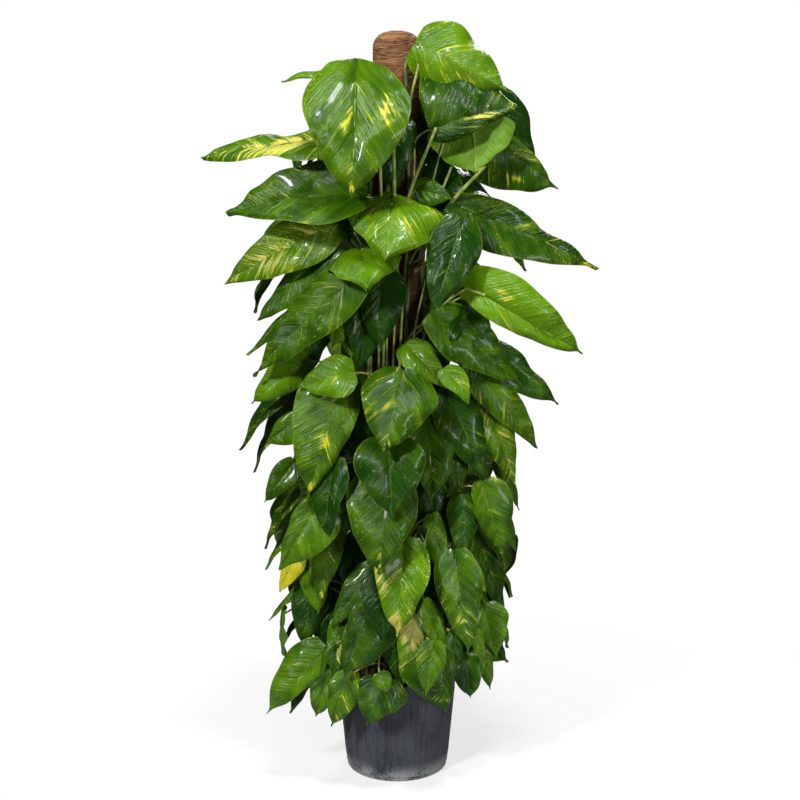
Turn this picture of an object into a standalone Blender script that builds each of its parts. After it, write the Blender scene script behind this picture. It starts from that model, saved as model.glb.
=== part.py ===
# Potted golden pothos: variegated heart-leaved vines on a coir pole, in a ribbed nursery pot.
# Metres, +Z up. The origin is the centre of the pot's underside and the plant's front faces -Y.
import math
import random

import bpy
from mathutils import Matrix, Vector
from mathutils.bvhtree import BVHTree

# Driving dimensions of the pot and what stands in it
POT_HEIGHT = 0.212
POT_FOOT_RADIUS = 0.1015
POT_FOOT_HEIGHT = 0.008
POT_WALL_BASE_RADIUS = 0.1030
POT_COLLAR_RADIUS = 0.1188
POT_COLLAR_Z = 0.184
POT_RIM_RADIUS = 0.1225
POT_WALL = 0.0022
POT_FLOOR = 0.0030
POT_SIDES = 28
DRAIN_COUNT = 8
DRAIN_RADIUS = 0.007
DRAIN_RING = 0.068

SOIL_TOP = 0.188
SOIL_RELIEF = 0.0025
GAP = 0.0003

POLE_RADIUS = 0.045
POLE_TOP = 1.476
POLE_SHOULDER = 0.022
POLE_FOOT = 0.100
POLE_SIDES = 24
CORE_RADIUS = 0.014
CORE_TOP = 1.440
CORE_SIDES = 12

TIE_HEIGHTS = (0.52, 1.30)
TIE_WIDTH = 0.006
TIE_THICKNESS = 0.0012
TIE_SIDES = 20

# Driving dimensions of the vines
VINE_COUNT = 8
VINE_FIRST_AZIMUTH = -22.0
VINE_TOPS = (1.400, 1.425, 1.370, 1.330, 1.385, 1.310, 1.365, 1.350)
STEM_RADIUS = 0.0045
STEM_TIP_SHARE = 0.8
STEM_SIDES = 6
HOLE_SIDES = 8
STEM_FOOT = 0.130
STEM_SOIL_RING = 0.064
STEM_LEAN_IN = 0.270
STEM_STEP = 0.095
STEM_WANDER = 0.0022
STALK_RADIUS = 0.0021

BLADE_THICKNESS = 0.0010
BLADE_ROWS = (0.0, 0.20, 0.48, 0.78, 1.0)
SMALL_BLADE_ROWS = (0.0, 0.28, 0.68, 1.0)
SMALL_BLADE = 0.135
BLADE_CLEARANCE = 0.0022
LOBE_SHARE = 0.16

# The front was laid out as an elevation at 0.15 m before the axis, seen from the eye point below
EYE = Vector((0.006, -3.400, 1.600))
ELEVATION_Y = -0.150
CM = 0.01

# Front leaves, in centimetres on the front elevation, nearest the eye first:
# stalk end x, z; tip x, z; blade width; distance before the axis of stalk end and tip; roll in degrees;
# then, where it differs from the usual leaf, lobe length, skew and sway in percent, and twist in degrees
FRONT_LEAVES = (
    (-7.4, 136.6, -8.2, 117.6, 18.2, 13.0, 20.0, 0, 38, -9, 0, 6),
    (-0.8, 116.5, -2.1, 105.8, 15.6, 11.0, 20.0, 0, 16, -12, 0, 0),
    (4.5, 145.5, 20.2, 137.2, 11.4, 9.0, 11.0, 12, 9, -16, 0, 0),
    (7.0, 130.7, 21.8, 134.6, 13.4, 13.0, 11.0, 5, 8, -58, -2, 0),
    (0.8, 84.0, -2.4, 69.9, 13.5, 15.0, 21.0, 0, 18, -4, 0, 0),
    (-1.9, 64.5, -3.4, 45.2, 12.8, 15.0, 20.0, 0, 12, 8, 0, 0),
    (-8.4, 103.0, -27.1, 84.5, 9.6, 15.0, 10.0, 20, 14, 0, 0, -8),
    (16.3, 100.1, 34.8, 88.9, 9.0, 13.0, 9.0, 0, 24, -28, 0, 0),
    (1.4, 51.0, 0.0, 32.8, 10.0, 13.5, 17.0, 0, 12, 0, 0, 0),
    (7.0, 31.0, 5.6, 20.6, 5.4, 17.0, 18.0, 0, 12, 0, 0, 0),
    (8.2, 29.5, 9.7, 17.3, 10.4, 14.5, 15.5, 0, 12, 50, 0, 0),
    (-2.9, 23.4, -5.9, 14.4, 9.2, 14.5, 16.0, 0, 14, -12, 0, 0),
    (-5.3, 39.6, -10.3, 24.3, 9.6, 13.0, 15.5, 0, 10, -44, 0, 0),
    (-14.8, 60.0, -22.6, 46.6, 8.6, 13.0, 12.5, 0, 10, -30, 0, 0),
    (-10.3, 83.0, -17.1, 61.0, 11.4, 12.0, 15.0, 0, 14, 26, 0, 0),
    (11.6, 112.6, 6.6, 96.6, 9.0, 14.0, 17.0, 8, 14, 0, 0, 0),
    (11.2, 48.8, 13.9, 28.9, 8.3, 12.5, 14.5, 0, 10, 0, 0, 0),
    (-9.0, 118.6, -31.2, 115.4, 12.4, 13.0, 9.0, 32, 16, 0, 0, 0),
    (-11.0, 128.8, -35.6, 125.5, 11.0, 9.0, 5.0, 66, 16, 0, 0, 14),
    (13.6, 115.8, 37.3, 105.1, 9.0, 10.0, 4.0, 16, 16, 20, 0, 66),
    (16.6, 129.4, 29.6, 119.7, 10.2, 8.0, 6.0, 8, 14, 44, 0, 0),
    (-13.5, 112.3, -32.0, 102.1, 9.6, 10.0, 6.0, 15, 16, 0, 0, 0),
    (-12.6, 108.4, -26.0, 95.3, 7.8, 10.0, 7.0, 28, 14, -30, 0, 0),
    (-6.3, 108.8, -5.4, 101.4, 13.4, 10.0, 20.0, 0, 10, 0, 0, 0),
    (13.6, 131.2, 14.5, 122.6, 12.4, 7.5, 11.0, 165, 12, 0, 0, 0),
    (3.5, 119.6, 10.4, 118.0, 5.0, 9.0, 13.0, 10, 14, 0, 0, 0),
    (12.2, 110.5, 13.0, 96.5, 5.4, 8.0, 10.0, 25, 12, 0, 0, 0),
    (8.5, 95.5, 23.5, 83.0, 9.6, 11.0, 8.0, 18, 14, 0, 0, 0),
    (15.0, 91.6, 30.5, 79.2, 8.0, 7.0, 4.0, 24, 12, 24, 0, 0),
    (2.2, 90.2, 9.3, 82.4, 6.4, 11.0, 14.0, 15, 12, 0, 0, 0),
    (15.3, 85.4, 26.6, 70.7, 7.0, 9.0, 6.0, 18, 12, 0, 0, 0),
    (9.5, 85.5, 13.5, 79.5, 4.8, 14.0, 15.0, 10),
    (-9.0, 85.4, -18.5, 82.4, 7.8, 15.0, 13.0, 15, 12, 0, 0, 0),
    (-17.8, 87.6, -27.4, 79.4, 6.8, 8.0, 6.0, 5, 12, 0, 0, 0),
    (-1.5, 71.0, -0.8, 56.8, 12.5, 11.0, 14.0, 0, 14, 0, 0, 0),
    (5.5, 75.5, 6.3, 60.0, 8.5, 9.0, 11.0, 15),
    (10.0, 80.0, 16.8, 64.5, 8.6, 9.0, 9.0, 15, 14, 0, 0, 0),
    (15.5, 82.0, 22.7, 63.2, 7.8, 6.0, 6.0, 15, 14, 0, 0, 0),
    (16.6, 62.8, 20.2, 49.7, 7.4, 9.0, 8.0, 0, 12, -22, 0, 0),
    (-10.0, 100.0, -12.0, 90.0, 8.4, 9.0, 12.0, 10),
    (-8.0, 93.5, -8.5, 88.0, 5.2, 11.0, 13.0, 0),
    (-12.0, 59.3, -14.8, 39.2, 7.4, 9.0, 11.0, 0, 10, 12, 0, 0),
    (-5.3, 46.1, -12.8, 34.7, 5.8, 10.0, 12.0, 5, 12, 0, 0, 0),
    (-9.6, 36.8, -12.8, 24.0, 5.8, 10.0, 12.0, 0, 10, 0, 0, 0),
    (-14.9, 29.4, -25.7, 16.7, 7.4, 11.0, 9.0, 0, 10, 30, 0, 0),
    (-9.7, 24.8, -12.9, 14.0, 6.2, 14.0, 14.5, 0, 10, -15, 0, 0),
    (-13.4, 25.4, -15.9, 16.3, 5.6, 13.0, 13.0, 0, 10, 0, 0, 0),
    (-3.4, 25.2, -1.6, 21.0, 3.4, 16.0, 16.5, 0, 8, 0, 0, 0),
    (3.4, 38.4, 1.3, 22.9, 5.8, 13.5, 15.0, 5, 8, 0, 0, 0),
    (5.4, 53.6, 3.8, 36.2, 6.0, 10.5, 12.5, 112, 10, 0, -6, 0),
    (7.0, 56.2, 9.7, 45.0, 4.2, 10.0, 11.5, 25),
    (12.7, 60.6, 12.9, 48.2, 5.8, 9.0, 10.0, 10, 10, 0, 0, 0),
    (14.4, 48.0, 17.3, 41.4, 2.0, 8.5, 8.5, 20, 8, 0, 0, 0),
    (14.2, 53.8, 21.0, 36.2, 5.6, 5.0, 4.0, 35, 12, 10, 0, 0),
    (16.8, 38.8, 19.3, 28.7, 6.6, 7.5, 8.5, 0, 10, -22, 0, 0),
    (5.5, 39.0, 9.9, 29.6, 4.6, 11.0, 12.0, 10),
    (11.4, 33.6, 11.2, 24.8, 3.4, 12.5, 13.0, 15),
    (13.3, 28.8, 14.4, 20.0, 6.0, 11.0, 11.5, 0, 10, 0, 0, 0),
    (16.4, 31.2, 18.3, 21.8, 3.8, 8.0, 8.5, 10, 8, 0, 0, 0),
    (14.9, 38.6, 18.0, 30.2, 4.2, 6.0, 6.5, 15),
    (-16.6, 49.6, -15.1, 37.4, 6.4, 7.0, 8.0, 10, 10, 0, 0, 0),
    (-19.3, 49.8, -22.6, 42.1, 4.2, 7.0, 6.0, 5, 8, -20, 0, 0),
    (-15.9, 44.2, -18.3, 30.6, 7.2, 5.0, 6.0, 5, 10, 0, 0, 0),
    (11.0, 72.0, 12.0, 60.5, 6.0, 8.0, 9.0, 25),
    (17.0, 63.6, 22.9, 50.3, 5.6, 4.0, 4.0, 22, 12, 8, 0, 0),
    (19.5, 67.6, 23.4, 58.5, 3.8, 1.0, 1.0, 45, 10, 0, 0, 0),
    (-19.7, 67.6, -25.3, 60.0, 4.8, 5.0, 5.0, 5, 10, 0, 0, 0),
    (-15.0, 78.8, -25.1, 71.4, 7.8, 5.0, 4.0, 20, 12, -22, 0, 0),
    (-18.9, 84.0, -29.9, 70.4, 7.6, 2.0, 1.0, 64, 12, 0, 0, 0),
    (-19.0, 82.0, -27.3, 66.0, 7.0, -1.0, -1.0, 66, 12, 0, 3, 0),
    (-15.0, 100.4, -28.0, 88.8, 4.6, 3.0, 1.0, 50, 12, 0, 0, 0),
    (-8.5, 140.2, -20.9, 139.2, 5.2, 3.0, 0.0, 70, 10, 0, 0, 0),
    (-19.0, 61.6, -25.3, 50.8, 5.2, 2.0, 1.0, 66, 10, 0, 0, 0),
    (-19.5, 57.4, -25.4, 46.6, 5.0, -1.0, -1.0, 68, 10, 0, 0, 0),
    (-18.3, 44.0, -24.9, 36.3, 4.2, 2.0, 1.0, 72, 8, 0, 0, 0),
    (-16.4, 38.0, -21.9, 32.0, 4.0, 1.0, 0.0, 58, 8, 0, 0, 0),
    (15.4, 34.0, 16.5, 26.9, 2.6, 10.0, 10.0, 15, 8, 0, 0, 0),
    (-7.0, 80.0, -7.6, 66.5, 9.0, 7.0, 8.0, 10),
    (-7.6, 66.0, -8.6, 52.5, 8.0, 7.0, 8.0, -10),
    (-7.4, 52.0, -7.0, 38.5, 7.5, 6.5, 8.0, 10),
    (-6.4, 37.0, -7.2, 26.0, 7.0, 8.0, 9.5, 0),
    (8.6, 59.0, 8.2, 45.0, 7.5, 6.5, 8.0, -10),
    (8.2, 45.5, 8.6, 32.0, 7.0, 7.0, 8.5, 10),
    (9.4, 104.5, 10.2, 92.0, 8.0, 7.0, 8.0, 10),
    (-9.2, 123.0, -8.6, 110.0, 8.5, 7.0, 9.0, -10),
    (-2.6, 102.5, -3.0, 89.5, 8.0, 6.5, 7.5, 8),
    (0.4, 131.0, -0.4, 118.5, 7.0, 6.5, 8.0, -8),
    (-6.2, 99.0, -7.0, 86.0, 8.0, 7.5, 8.5, 12),
    (7.4, 122.5, 8.6, 109.0, 8.0, 6.5, 8.0, 10),
    (6.4, 92.0, 6.0, 79.0, 8.0, 6.5, 8.0, -8),
    (0.5, 34.5, 0.2, 22.5, 7.5, 8.5, 9.5, 5),
    (-12.0, 67.0, -13.2, 53.0, 7.5, 6.0, 7.0, 10),
    (-2.0, 46.0, -2.6, 32.0, 8.0, 7.0, 8.5, 0),
    (13.0, 96.0, 14.0, 82.5, 8.0, 6.0, 7.0, 10),
    (-11.6, 50.0, -12.4, 37.0, 7.5, 5.0, 6.0, 10),
    (7.2, 69.0, 7.4, 55.5, 8.0, 5.5, 6.5, -10),
)

# Side and back leaves follow a rule: a spiral of stalk ends, drawn with a fixed seed; three of its
# leaves would stick out past the plant's front outline and are left out
RULE_SEED = 41
RULE_COUNT = 66
RULE_LEFT_OUT = (29, 45, 65)
RULE_FRONT_GAP = 76.0
RULE_LOW = 0.235
RULE_HIGH = 1.420
GOLDEN_ANGLE = 137.508

# How far leaves may reach from the axis at each height
REACH = ((0.14, 0.225), (0.45, 0.235), (0.75, 0.265), (1.00, 0.325), (1.22, 0.330), (1.38, 0.225), (1.50, 0.120))

BACK_REACH = 0.18

# Trials for a leaf that would cross another: shift along the line of sight or outwards, change of roll
SHIFTS = (0.0, -0.01, 0.01, -0.02, 0.02, -0.03, 0.03, -0.04, 0.04, -0.055, 0.055, 0.07, 0.085)
ROLL_CHANGES = (0, 10, -10, 20, -20, 32, -32)
ROLL_COST = 0.0012
NODE_SHIFTS = (0.0, 0.03, -0.03, 0.06, -0.06, 0.10, -0.10)
VINE_TURNS = (0, 1, -1)


def clear_scene():
    """Start from an empty scene."""
    for item in list(bpy.data.objects):
        bpy.data.objects.remove(item, do_unlink=True)


def material(name, colour, roughness, metallic=0.0):
    """A Principled material with one colour and roughness."""
    made = bpy.data.materials.new(name)
    made.use_nodes = True
    shader = made.node_tree.nodes["Principled BSDF"]
    shader.inputs["Base Color"].default_value = (*colour, 1.0)
    shader.inputs["Roughness"].default_value = roughness
    shader.inputs["Metallic"].default_value = metallic
    return made


def mesh_object(name, points, faces, finish, angle=35.0):
    """An object from points and faces, smooth up to the given angle."""
    mesh = bpy.data.meshes.new(name)
    mesh.from_pydata([tuple(p) for p in points], [], faces)
    mesh.materials.append(finish)
    mesh.shade_smooth()
    mesh.set_sharp_from_angle(angle=math.radians(angle))
    made = bpy.data.objects.new(name, mesh)
    bpy.context.collection.objects.link(made)
    return made


def turned(name, profile, sides, finish, closed_ring=False):
    """A solid of revolution from (radius, z) points; a zero radius is a pole on the axis."""
    points = []
    rings = []
    for radius, z in profile:
        if radius == 0.0:
            rings.append([len(points)])
            points.append((0.0, 0.0, z))
            continue
        start = len(points)
        for side in range(sides):
            angle = 2.0 * math.pi * side / sides
            points.append((radius * math.cos(angle), radius * math.sin(angle), z))
        rings.append(list(range(start, start + sides)))
    faces = []
    pairs = list(zip(rings, rings[1:]))
    if closed_ring:
        pairs.append((rings[-1], rings[0]))
    for lower, upper in pairs:
        for side in range(sides):
            after = (side + 1) % sides
            a = lower[side % len(lower)]
            b = lower[after % len(lower)]
            c = upper[after % len(upper)]
            d = upper[side % len(upper)]
            corner = [a, b, c, d]
            faces.append([p for i, p in enumerate(corner) if p not in corner[:i]])
    return mesh_object(name, points, faces, finish)


def cylinder(radius, low, high, x=0.0, y=0.0, sides=12):
    """A plain cylinder used as a cutter; it is removed once its cut is made."""
    made = turned("cutter", ((0.0, low), (radius, low), (radius, high), (0.0, high)), sides, None)
    for vertex in made.data.vertices:
        vertex.co.x += x
        vertex.co.y += y
    return made


def apply_modifiers(target):
    """Replace the object's mesh with its evaluated one."""
    bpy.context.view_layer.update()
    evaluated = target.evaluated_get(bpy.context.evaluated_depsgraph_get())
    fresh = bpy.data.meshes.new_from_object(evaluated)
    target.modifiers.clear()
    target.data = fresh


def combine(target, others, operation, solver="EXACT"):
    """Join or cut the target with several closed solids at once, then remove those solids."""
    gathered = bpy.data.collections.new("gathered")
    for other in others:
        gathered.objects.link(other)
    modifier = target.modifiers.new(operation.lower(), "BOOLEAN")
    modifier.operation = operation
    modifier.solver = solver
    modifier.operand_type = "COLLECTION"
    modifier.collection = gathered
    apply_modifiers(target)
    for other in others:
        bpy.data.objects.remove(other, do_unlink=True)
    bpy.data.collections.remove(gathered)


def make_pot(finish):
    """The nursery pot: inset foot, tapering wall, thicker collar, and drain holes in the floor."""
    floor_radius = POT_FOOT_RADIUS - POT_WALL
    inner_base = POT_WALL_BASE_RADIUS - POT_WALL
    inner_collar = POT_COLLAR_RADIUS - POT_WALL
    profile = (
        (0.0, 0.0),
        (POT_FOOT_RADIUS, 0.0),
        (POT_FOOT_RADIUS, POT_FOOT_HEIGHT),
        (POT_WALL_BASE_RADIUS, POT_FOOT_HEIGHT + 0.001),
        (POT_COLLAR_RADIUS, POT_COLLAR_Z),
        (POT_RIM_RADIUS - 0.0010, POT_COLLAR_Z + 0.002),
        (POT_RIM_RADIUS, POT_HEIGHT - 0.001),
        (POT_RIM_RADIUS - 0.0010, POT_HEIGHT),
        (POT_RIM_RADIUS - POT_WALL, POT_HEIGHT),
        (inner_collar + 0.0010, POT_COLLAR_Z + 0.004),
        (inner_collar, POT_COLLAR_Z),
        (inner_base, POT_FOOT_HEIGHT + 0.001),
        (floor_radius, POT_FLOOR),
        (0.0, POT_FLOOR),
    )
    pot = turned("pot", profile, POT_SIDES, finish)
    drains = []
    for index in range(DRAIN_COUNT):
        angle = 2.0 * math.pi * index / DRAIN_COUNT
        x = DRAIN_RING * math.cos(angle)
        y = DRAIN_RING * math.sin(angle)
        drains.append(cylinder(DRAIN_RADIUS, -0.01, POT_FLOOR + 0.01, x, y, 8))
    combine(pot, drains, "DIFFERENCE")
    pot.name = "pot"
    return pot


def azimuth_vector(degrees):
    """Level unit vector at an azimuth: 0 faces the viewer, 90 is to the right."""
    angle = math.radians(degrees)
    return Vector((math.sin(angle), -math.cos(angle), 0.0))


def azimuth_of(point):
    """The azimuth of a point about the axis, in degrees."""
    return math.degrees(math.atan2(point.x, -point.y))


def vine_azimuth(index):
    return VINE_FIRST_AZIMUTH + index * 360.0 / VINE_COUNT


def stem_point(index, z):
    """Centre of a vine's stem at a height: out of the soil, leaning in, then up along the pole."""
    against_pole = POLE_RADIUS + GAP + STEM_RADIUS
    if z < SOIL_TOP + 0.012:
        return azimuth_vector(vine_azimuth(index)) * STEM_SOIL_RING + Vector((0.0, 0.0, z))
    if z < STEM_LEAN_IN:
        share = (z - SOIL_TOP - 0.012) / (STEM_LEAN_IN - SOIL_TOP - 0.012)
        share = share * share * (3.0 - 2.0 * share)
        radius = STEM_SOIL_RING + (against_pole - STEM_SOIL_RING) * share
        return azimuth_vector(vine_azimuth(index)) * radius + Vector((0.0, 0.0, z))
    nearest = min(abs(z - height) for height in TIE_HEIGHTS + (STEM_LEAN_IN,))
    loose = min(1.0, nearest / 0.05)
    radius = against_pole + STEM_WANDER * loose * (1.0 + math.sin(37.0 * z + 2.1 * index))
    turn = 4.0 * loose * math.sin(11.0 * z + 1.7 * index)
    return azimuth_vector(vine_azimuth(index) + turn) * radius + Vector((0.0, 0.0, z))


def tube(points, radii, sides, pointed=False):
    """Points and faces of a closed tube along a path; pointed ends it in a single point."""
    rings = []
    verts = []
    side_way = None
    last = len(points) - 1
    for index, centre in enumerate(points):
        if pointed and index == last:
            rings.append([len(verts)])
            verts.append(centre)
            continue
        ahead = points[min(index + 1, last)] - points[max(index - 1, 0)]
        ahead.normalize()
        if side_way is None:
            side_way = ahead.orthogonal()
        side_way = (side_way - ahead * side_way.dot(ahead)).normalized()
        other = ahead.cross(side_way)
        rings.append(list(range(len(verts), len(verts) + sides)))
        for side in range(sides):
            angle = 2.0 * math.pi * side / sides
            verts.append(centre + (side_way * math.cos(angle) + other * math.sin(angle)) * radii[index])
    faces = [tuple(reversed(rings[0]))]
    for lower, upper in zip(rings, rings[1:]):
        for side in range(sides):
            after = (side + 1) % sides
            if len(upper) == 1:
                faces.append((lower[side], lower[after], upper[0]))
            else:
                faces.append((lower[side], lower[after], upper[after]))
                faces.append((lower[side], upper[after], upper[side]))
    if len(rings[-1]) > 1:
        faces.append(tuple(rings[-1]))
    return verts, faces


def stem_solid(index):
    """Points and faces of a vine's stem."""
    fixed = [SOIL_TOP + 0.010, STEM_LEAN_IN, *TIE_HEIGHTS, VINE_TOPS[index]]
    heights = [STEM_FOOT]
    for low, high in zip(fixed, fixed[1:]):
        steps = max(1, round((high - low) / STEM_STEP))
        heights += [low + (high - low) * step / steps for step in range(steps)]
    heights.append(fixed[-1])
    path = [stem_point(index, z) for z in heights]
    radii = [STEM_RADIUS if z <= TIE_HEIGHTS[-1] else STEM_TIP_SHARE * STEM_RADIUS for z in heights]
    return tube(path, radii, STEM_SIDES)


def width_share(s):
    """Half width of a blade along its midrib, as a share of its widest: round lobes, full sides, a drawn tip."""
    return (1.0 - s ** 2.2) * (1.0 - 0.3 * s ** 8) * (1.0 - 0.5 * math.exp(-s / 0.10)) / 0.92


class Leaf:
    """One leaf: where its stalk ends, where its tip is, and how its blade bends."""

    def __init__(self, base, tip, normal, width, shape):
        self.base = base
        self.along = (tip - base).normalized()
        self.length = (tip - base).length
        self.normal = (normal - self.along * normal.dot(self.along)).normalized()
        self.across = self.along.cross(self.normal)
        self.width = width
        self.arch, self.fold, self.cup, self.wave, self.phase, self.sway, self.twist, self.lobe, self.skew = shape

    def point(self, s, u):
        """Middle surface of the blade: s from stalk to tip, u across from -1 to 1."""
        half = 0.5 * self.width * width_share(s)
        x = u * half * (1.0 + self.skew * math.copysign(1.0, u))
        t = s - self.lobe * (1.0 - s) ** 3 * math.sin(0.62 * math.pi * abs(u)) ** 0.8
        bow = 4.0 * t * (1.0 - t)
        lift = self.fold * abs(x) - self.cup * x * x / self.width
        lift += self.wave * self.width * u * u * math.sin(9.0 * s + self.phase + 1.3 * u)
        turn = self.twist * (s - 0.3)
        side = x * math.cos(turn) - lift * math.sin(turn) + self.sway * self.length * bow
        rise = x * math.sin(turn) + lift * math.cos(turn) + self.arch * self.length * bow
        return self.base + self.along * (t * self.length) + self.across * side + self.normal * rise

    def solid(self, thickness, grow=1.0):
        """Points and faces of the closed blade, split alike on both faces."""
        kept = self.width, self.length
        rows = SMALL_BLADE_ROWS if self.length < SMALL_BLADE else BLADE_ROWS
        self.width, self.length = self.width * grow, self.length * grow
        middle = [self.point(s, u) for s in rows[:-1] for u in (-1.0, 0.0, 1.0)]
        middle.append(self.point(1.0, 0.0))
        self.width, self.length = kept
        half = self.normal * (0.5 * thickness)
        count = len(middle)
        points = [p + half for p in middle] + [p - half for p in middle]
        top = []
        for row in range(len(rows) - 2):
            a = 3 * row
            for left in (a, a + 1):
                if left == a:
                    top.append((left, left + 1, left + 4))
                    top.append((left, left + 4, left + 3))
                else:
                    top.append((left, left + 1, left + 3))
                    top.append((left + 1, left + 4, left + 3))
        a = count - 4
        top.append((a, a + 1, count - 1))
        top.append((a + 1, a + 2, count - 1))
        faces = list(top)
        faces += [(c + count, b + count, a + count) for a, b, c in top]
        left_rim = list(range(0, count - 1, 3))
        right_rim = list(range(2, count - 1, 3))
        rim = [1] + left_rim + [count - 1] + right_rim[::-1]
        for here, after in zip(rim, rim[1:] + rim[:1]):
            faces.append((here, after, after + count))
            faces.append((here, after + count, here + count))
        return points, faces


def leaf_shape(rng, read=()):
    """How a blade bends: arch, fold, cup, wave and phase are drawn; sway, twist, lobes and skew may be read."""
    arch = rng.uniform(0.05, 0.12)
    fold = rng.uniform(0.05, 0.30)
    cup = rng.uniform(0.20, 0.55)
    wave = rng.uniform(0.010, 0.030)
    phase = rng.uniform(0.0, 2.0 * math.pi)
    sway = rng.uniform(-0.040, 0.040)
    twist = rng.uniform(-0.35, 0.35)
    lobe = LOBE_SHARE
    skew = rng.uniform(-0.15, 0.15)
    if read:
        lobe, skew, sway = (0.01 * percent for percent in read[:3])
        twist = math.radians(read[3])
    return arch, fold, cup, wave, phase, sway, twist, lobe, skew


def along_sight(x, z, y):
    """The point at depth y that the eye sees at (x, z) of the front elevation, both in centimetres."""
    seen = Vector((x * CM, ELEVATION_Y, z * CM))
    return EYE + (seen - EYE) * ((y - EYE.y) / (ELEVATION_Y - EYE.y))


def front_leaf(row, shape, shift, roll_change):
    """A leaf from the front list, slid along the line of sight and rolled by a trial's amounts."""
    base_x, base_z, tip_x, tip_z, width, base_out, tip_out, roll = row[:8]
    base = along_sight(base_x, base_z, -base_out * CM - shift)
    tip = along_sight(tip_x, tip_z, -tip_out * CM - shift)
    along = (tip - base).normalized()
    facing = (EYE - base).normalized()
    facing = (facing - along * facing.dot(along)).normalized()
    side = along.cross(facing)
    outward = azimuth_vector(azimuth_of(base))
    if side.dot(Vector((0.0, 0.0, 1.0)) + outward) < 0.0:
        side = -side
    angle = math.radians(roll + roll_change)
    normal = facing * math.cos(angle) + side * math.sin(angle)
    leaf = Leaf(base, tip, normal, width * CM, shape)
    leaf.arch *= abs(math.cos(angle))
    return leaf


def reach_at(z):
    """How far a leaf may reach from the axis at a height."""
    for (low, near), (high, far) in zip(REACH, REACH[1:]):
        if z <= high:
            return near + (far - near) * max(0.0, z - low) / (high - low)
    return REACH[-1][1]


def rule_leaf(draw, shape, shift, roll_change):
    """A side or back leaf from its draw, moved outwards and rolled by a trial's amounts."""
    azimuth, z, start, droop, length, share, swing, roll = draw
    out = azimuth_vector(azimuth)
    base = out * (start + shift) + Vector((0.0, 0.0, z))
    heading = azimuth_vector(azimuth + swing)
    along = heading * math.cos(droop) - Vector((0.0, 0.0, math.sin(droop)))
    tip = base + along * length
    level = math.hypot(tip.x, tip.y)
    room = reach_at(tip.z) * (1.0 + BACK_REACH * max(0.0, tip.y) / level)
    if level > room:
        tip.x *= room / level
        tip.y *= room / level
    along = (tip - base).normalized()
    facing = Vector((0.0, 0.0, 1.0)) * 0.6 + heading
    facing = (facing - along * facing.dot(along)).normalized()
    normal = Matrix.Rotation(math.radians(roll + roll_change), 3, along) @ facing
    return Leaf(base, tip, normal, length * share, shape)


def rule_draws():
    """The draws of every side and back leaf: a golden-angle spiral up the pole, skipping the front."""
    rng = random.Random(RULE_SEED)
    draws = []
    span = 360.0 - 2.0 * RULE_FRONT_GAP
    for index in range(RULE_COUNT):
        turn = (index * GOLDEN_ANGLE + rng.uniform(-8.0, 8.0)) % 360.0
        azimuth = RULE_FRONT_GAP + turn * span / 360.0
        share_up = (index + 0.5) / RULE_COUNT
        z = RULE_LOW + (RULE_HIGH - RULE_LOW) * share_up + rng.uniform(-0.02, 0.02)
        long = 0.150 + 0.095 * math.sin(math.pi * min(1.0, share_up * 1.15)) + rng.uniform(-0.025, 0.030)
        start = rng.uniform(0.090, 0.180) if z > 0.33 else rng.uniform(0.128, 0.152)
        droop = math.radians(rng.uniform(18.0, 74.0))
        share = rng.uniform(0.52, 0.68)
        swing = rng.uniform(-38.0, 38.0)
        roll = rng.uniform(-38.0, 38.0)
        draws.append((azimuth, z, start, droop, long, share, swing, roll))
    return draws


def trials():
    """Shift and roll pairs, the smallest changes first."""
    pairs = [(shift, roll) for shift in SHIFTS for roll in ROLL_CHANGES]
    return sorted(pairs, key=lambda pair: abs(pair[0]) + ROLL_COST * abs(pair[1]))


def bezier(a, b, c, d, t):
    k = 1.0 - t
    return a * k ** 3 + b * (3.0 * k * k * t) + c * (3.0 * k * t * t) + d * t ** 3


def stalk_path(leaf, vine, node_shift):
    """The stalk's path: out of the stem, rising and out, then in under the blade at its notch."""
    level = math.hypot(leaf.base.x, leaf.base.y) - POLE_RADIUS
    z = leaf.base.z - 0.015 - 0.50 * max(0.0, level) + node_shift
    z = min(max(z, SOIL_TOP + 0.030), VINE_TOPS[vine] - 0.008)
    root = stem_point(vine, z)
    out = Vector((root.x, root.y, 0.0)).normalized()
    end = leaf.point(0.05, 0.0)
    span = (end - root).length
    to_leaf = Vector((end.x - root.x, end.y - root.y, 0.0))
    if to_leaf.length > 1e-6:
        to_leaf.normalize()
    first = root + (out * 0.65 + Vector((0.0, 0.0, 0.75))) * (0.38 * span)
    arrive = (to_leaf * 0.8 + leaf.along * 0.5 + Vector((0.0, 0.0, 0.15))).normalized()
    under = end - leaf.normal * 0.0035 - arrive * 0.012
    before = under - arrive * (0.33 * span)
    path = [bezier(root, first, before, under, t) for t in (0.0, 0.5, 1.0)]
    return path + [end]


def stalk_solid(leaf, vine, node_shift, spare=0.0):
    """Points and faces of a three-sided stalk; spare makes it thicker, for the clearance test."""
    path = stalk_path(leaf, vine, node_shift)
    radii = [radius + spare for radius in (1.15 * STALK_RADIUS, STALK_RADIUS, 0.9 * STALK_RADIUS, 0.0)]
    return tube(path, radii, 3, pointed=True)


class Placed:
    """Everything placed so far, as trees with their boxes, for crossing tests."""

    def __init__(self):
        self.items = []

    def add(self, points, faces, owner):
        self.items.append((self.box(points), BVHTree.FromPolygons(points, faces), owner))

    @staticmethod
    def box(points):
        low = [min(p[axis] for p in points) for axis in range(3)]
        high = [max(p[axis] for p in points) for axis in range(3)]
        return low, high

    def crosses(self, points, faces, skip=None):
        low, high = self.box(points)
        tree = None
        for (near, far), other, owner in self.items:
            if skip is not None and owner == skip:
                continue
            if any(low[a] > far[a] or high[a] < near[a] for a in range(3)):
                continue
            if tree is None:
                tree = BVHTree.FromPolygons(points, faces)
            if tree.overlap(other):
                return True
        return False


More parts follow.
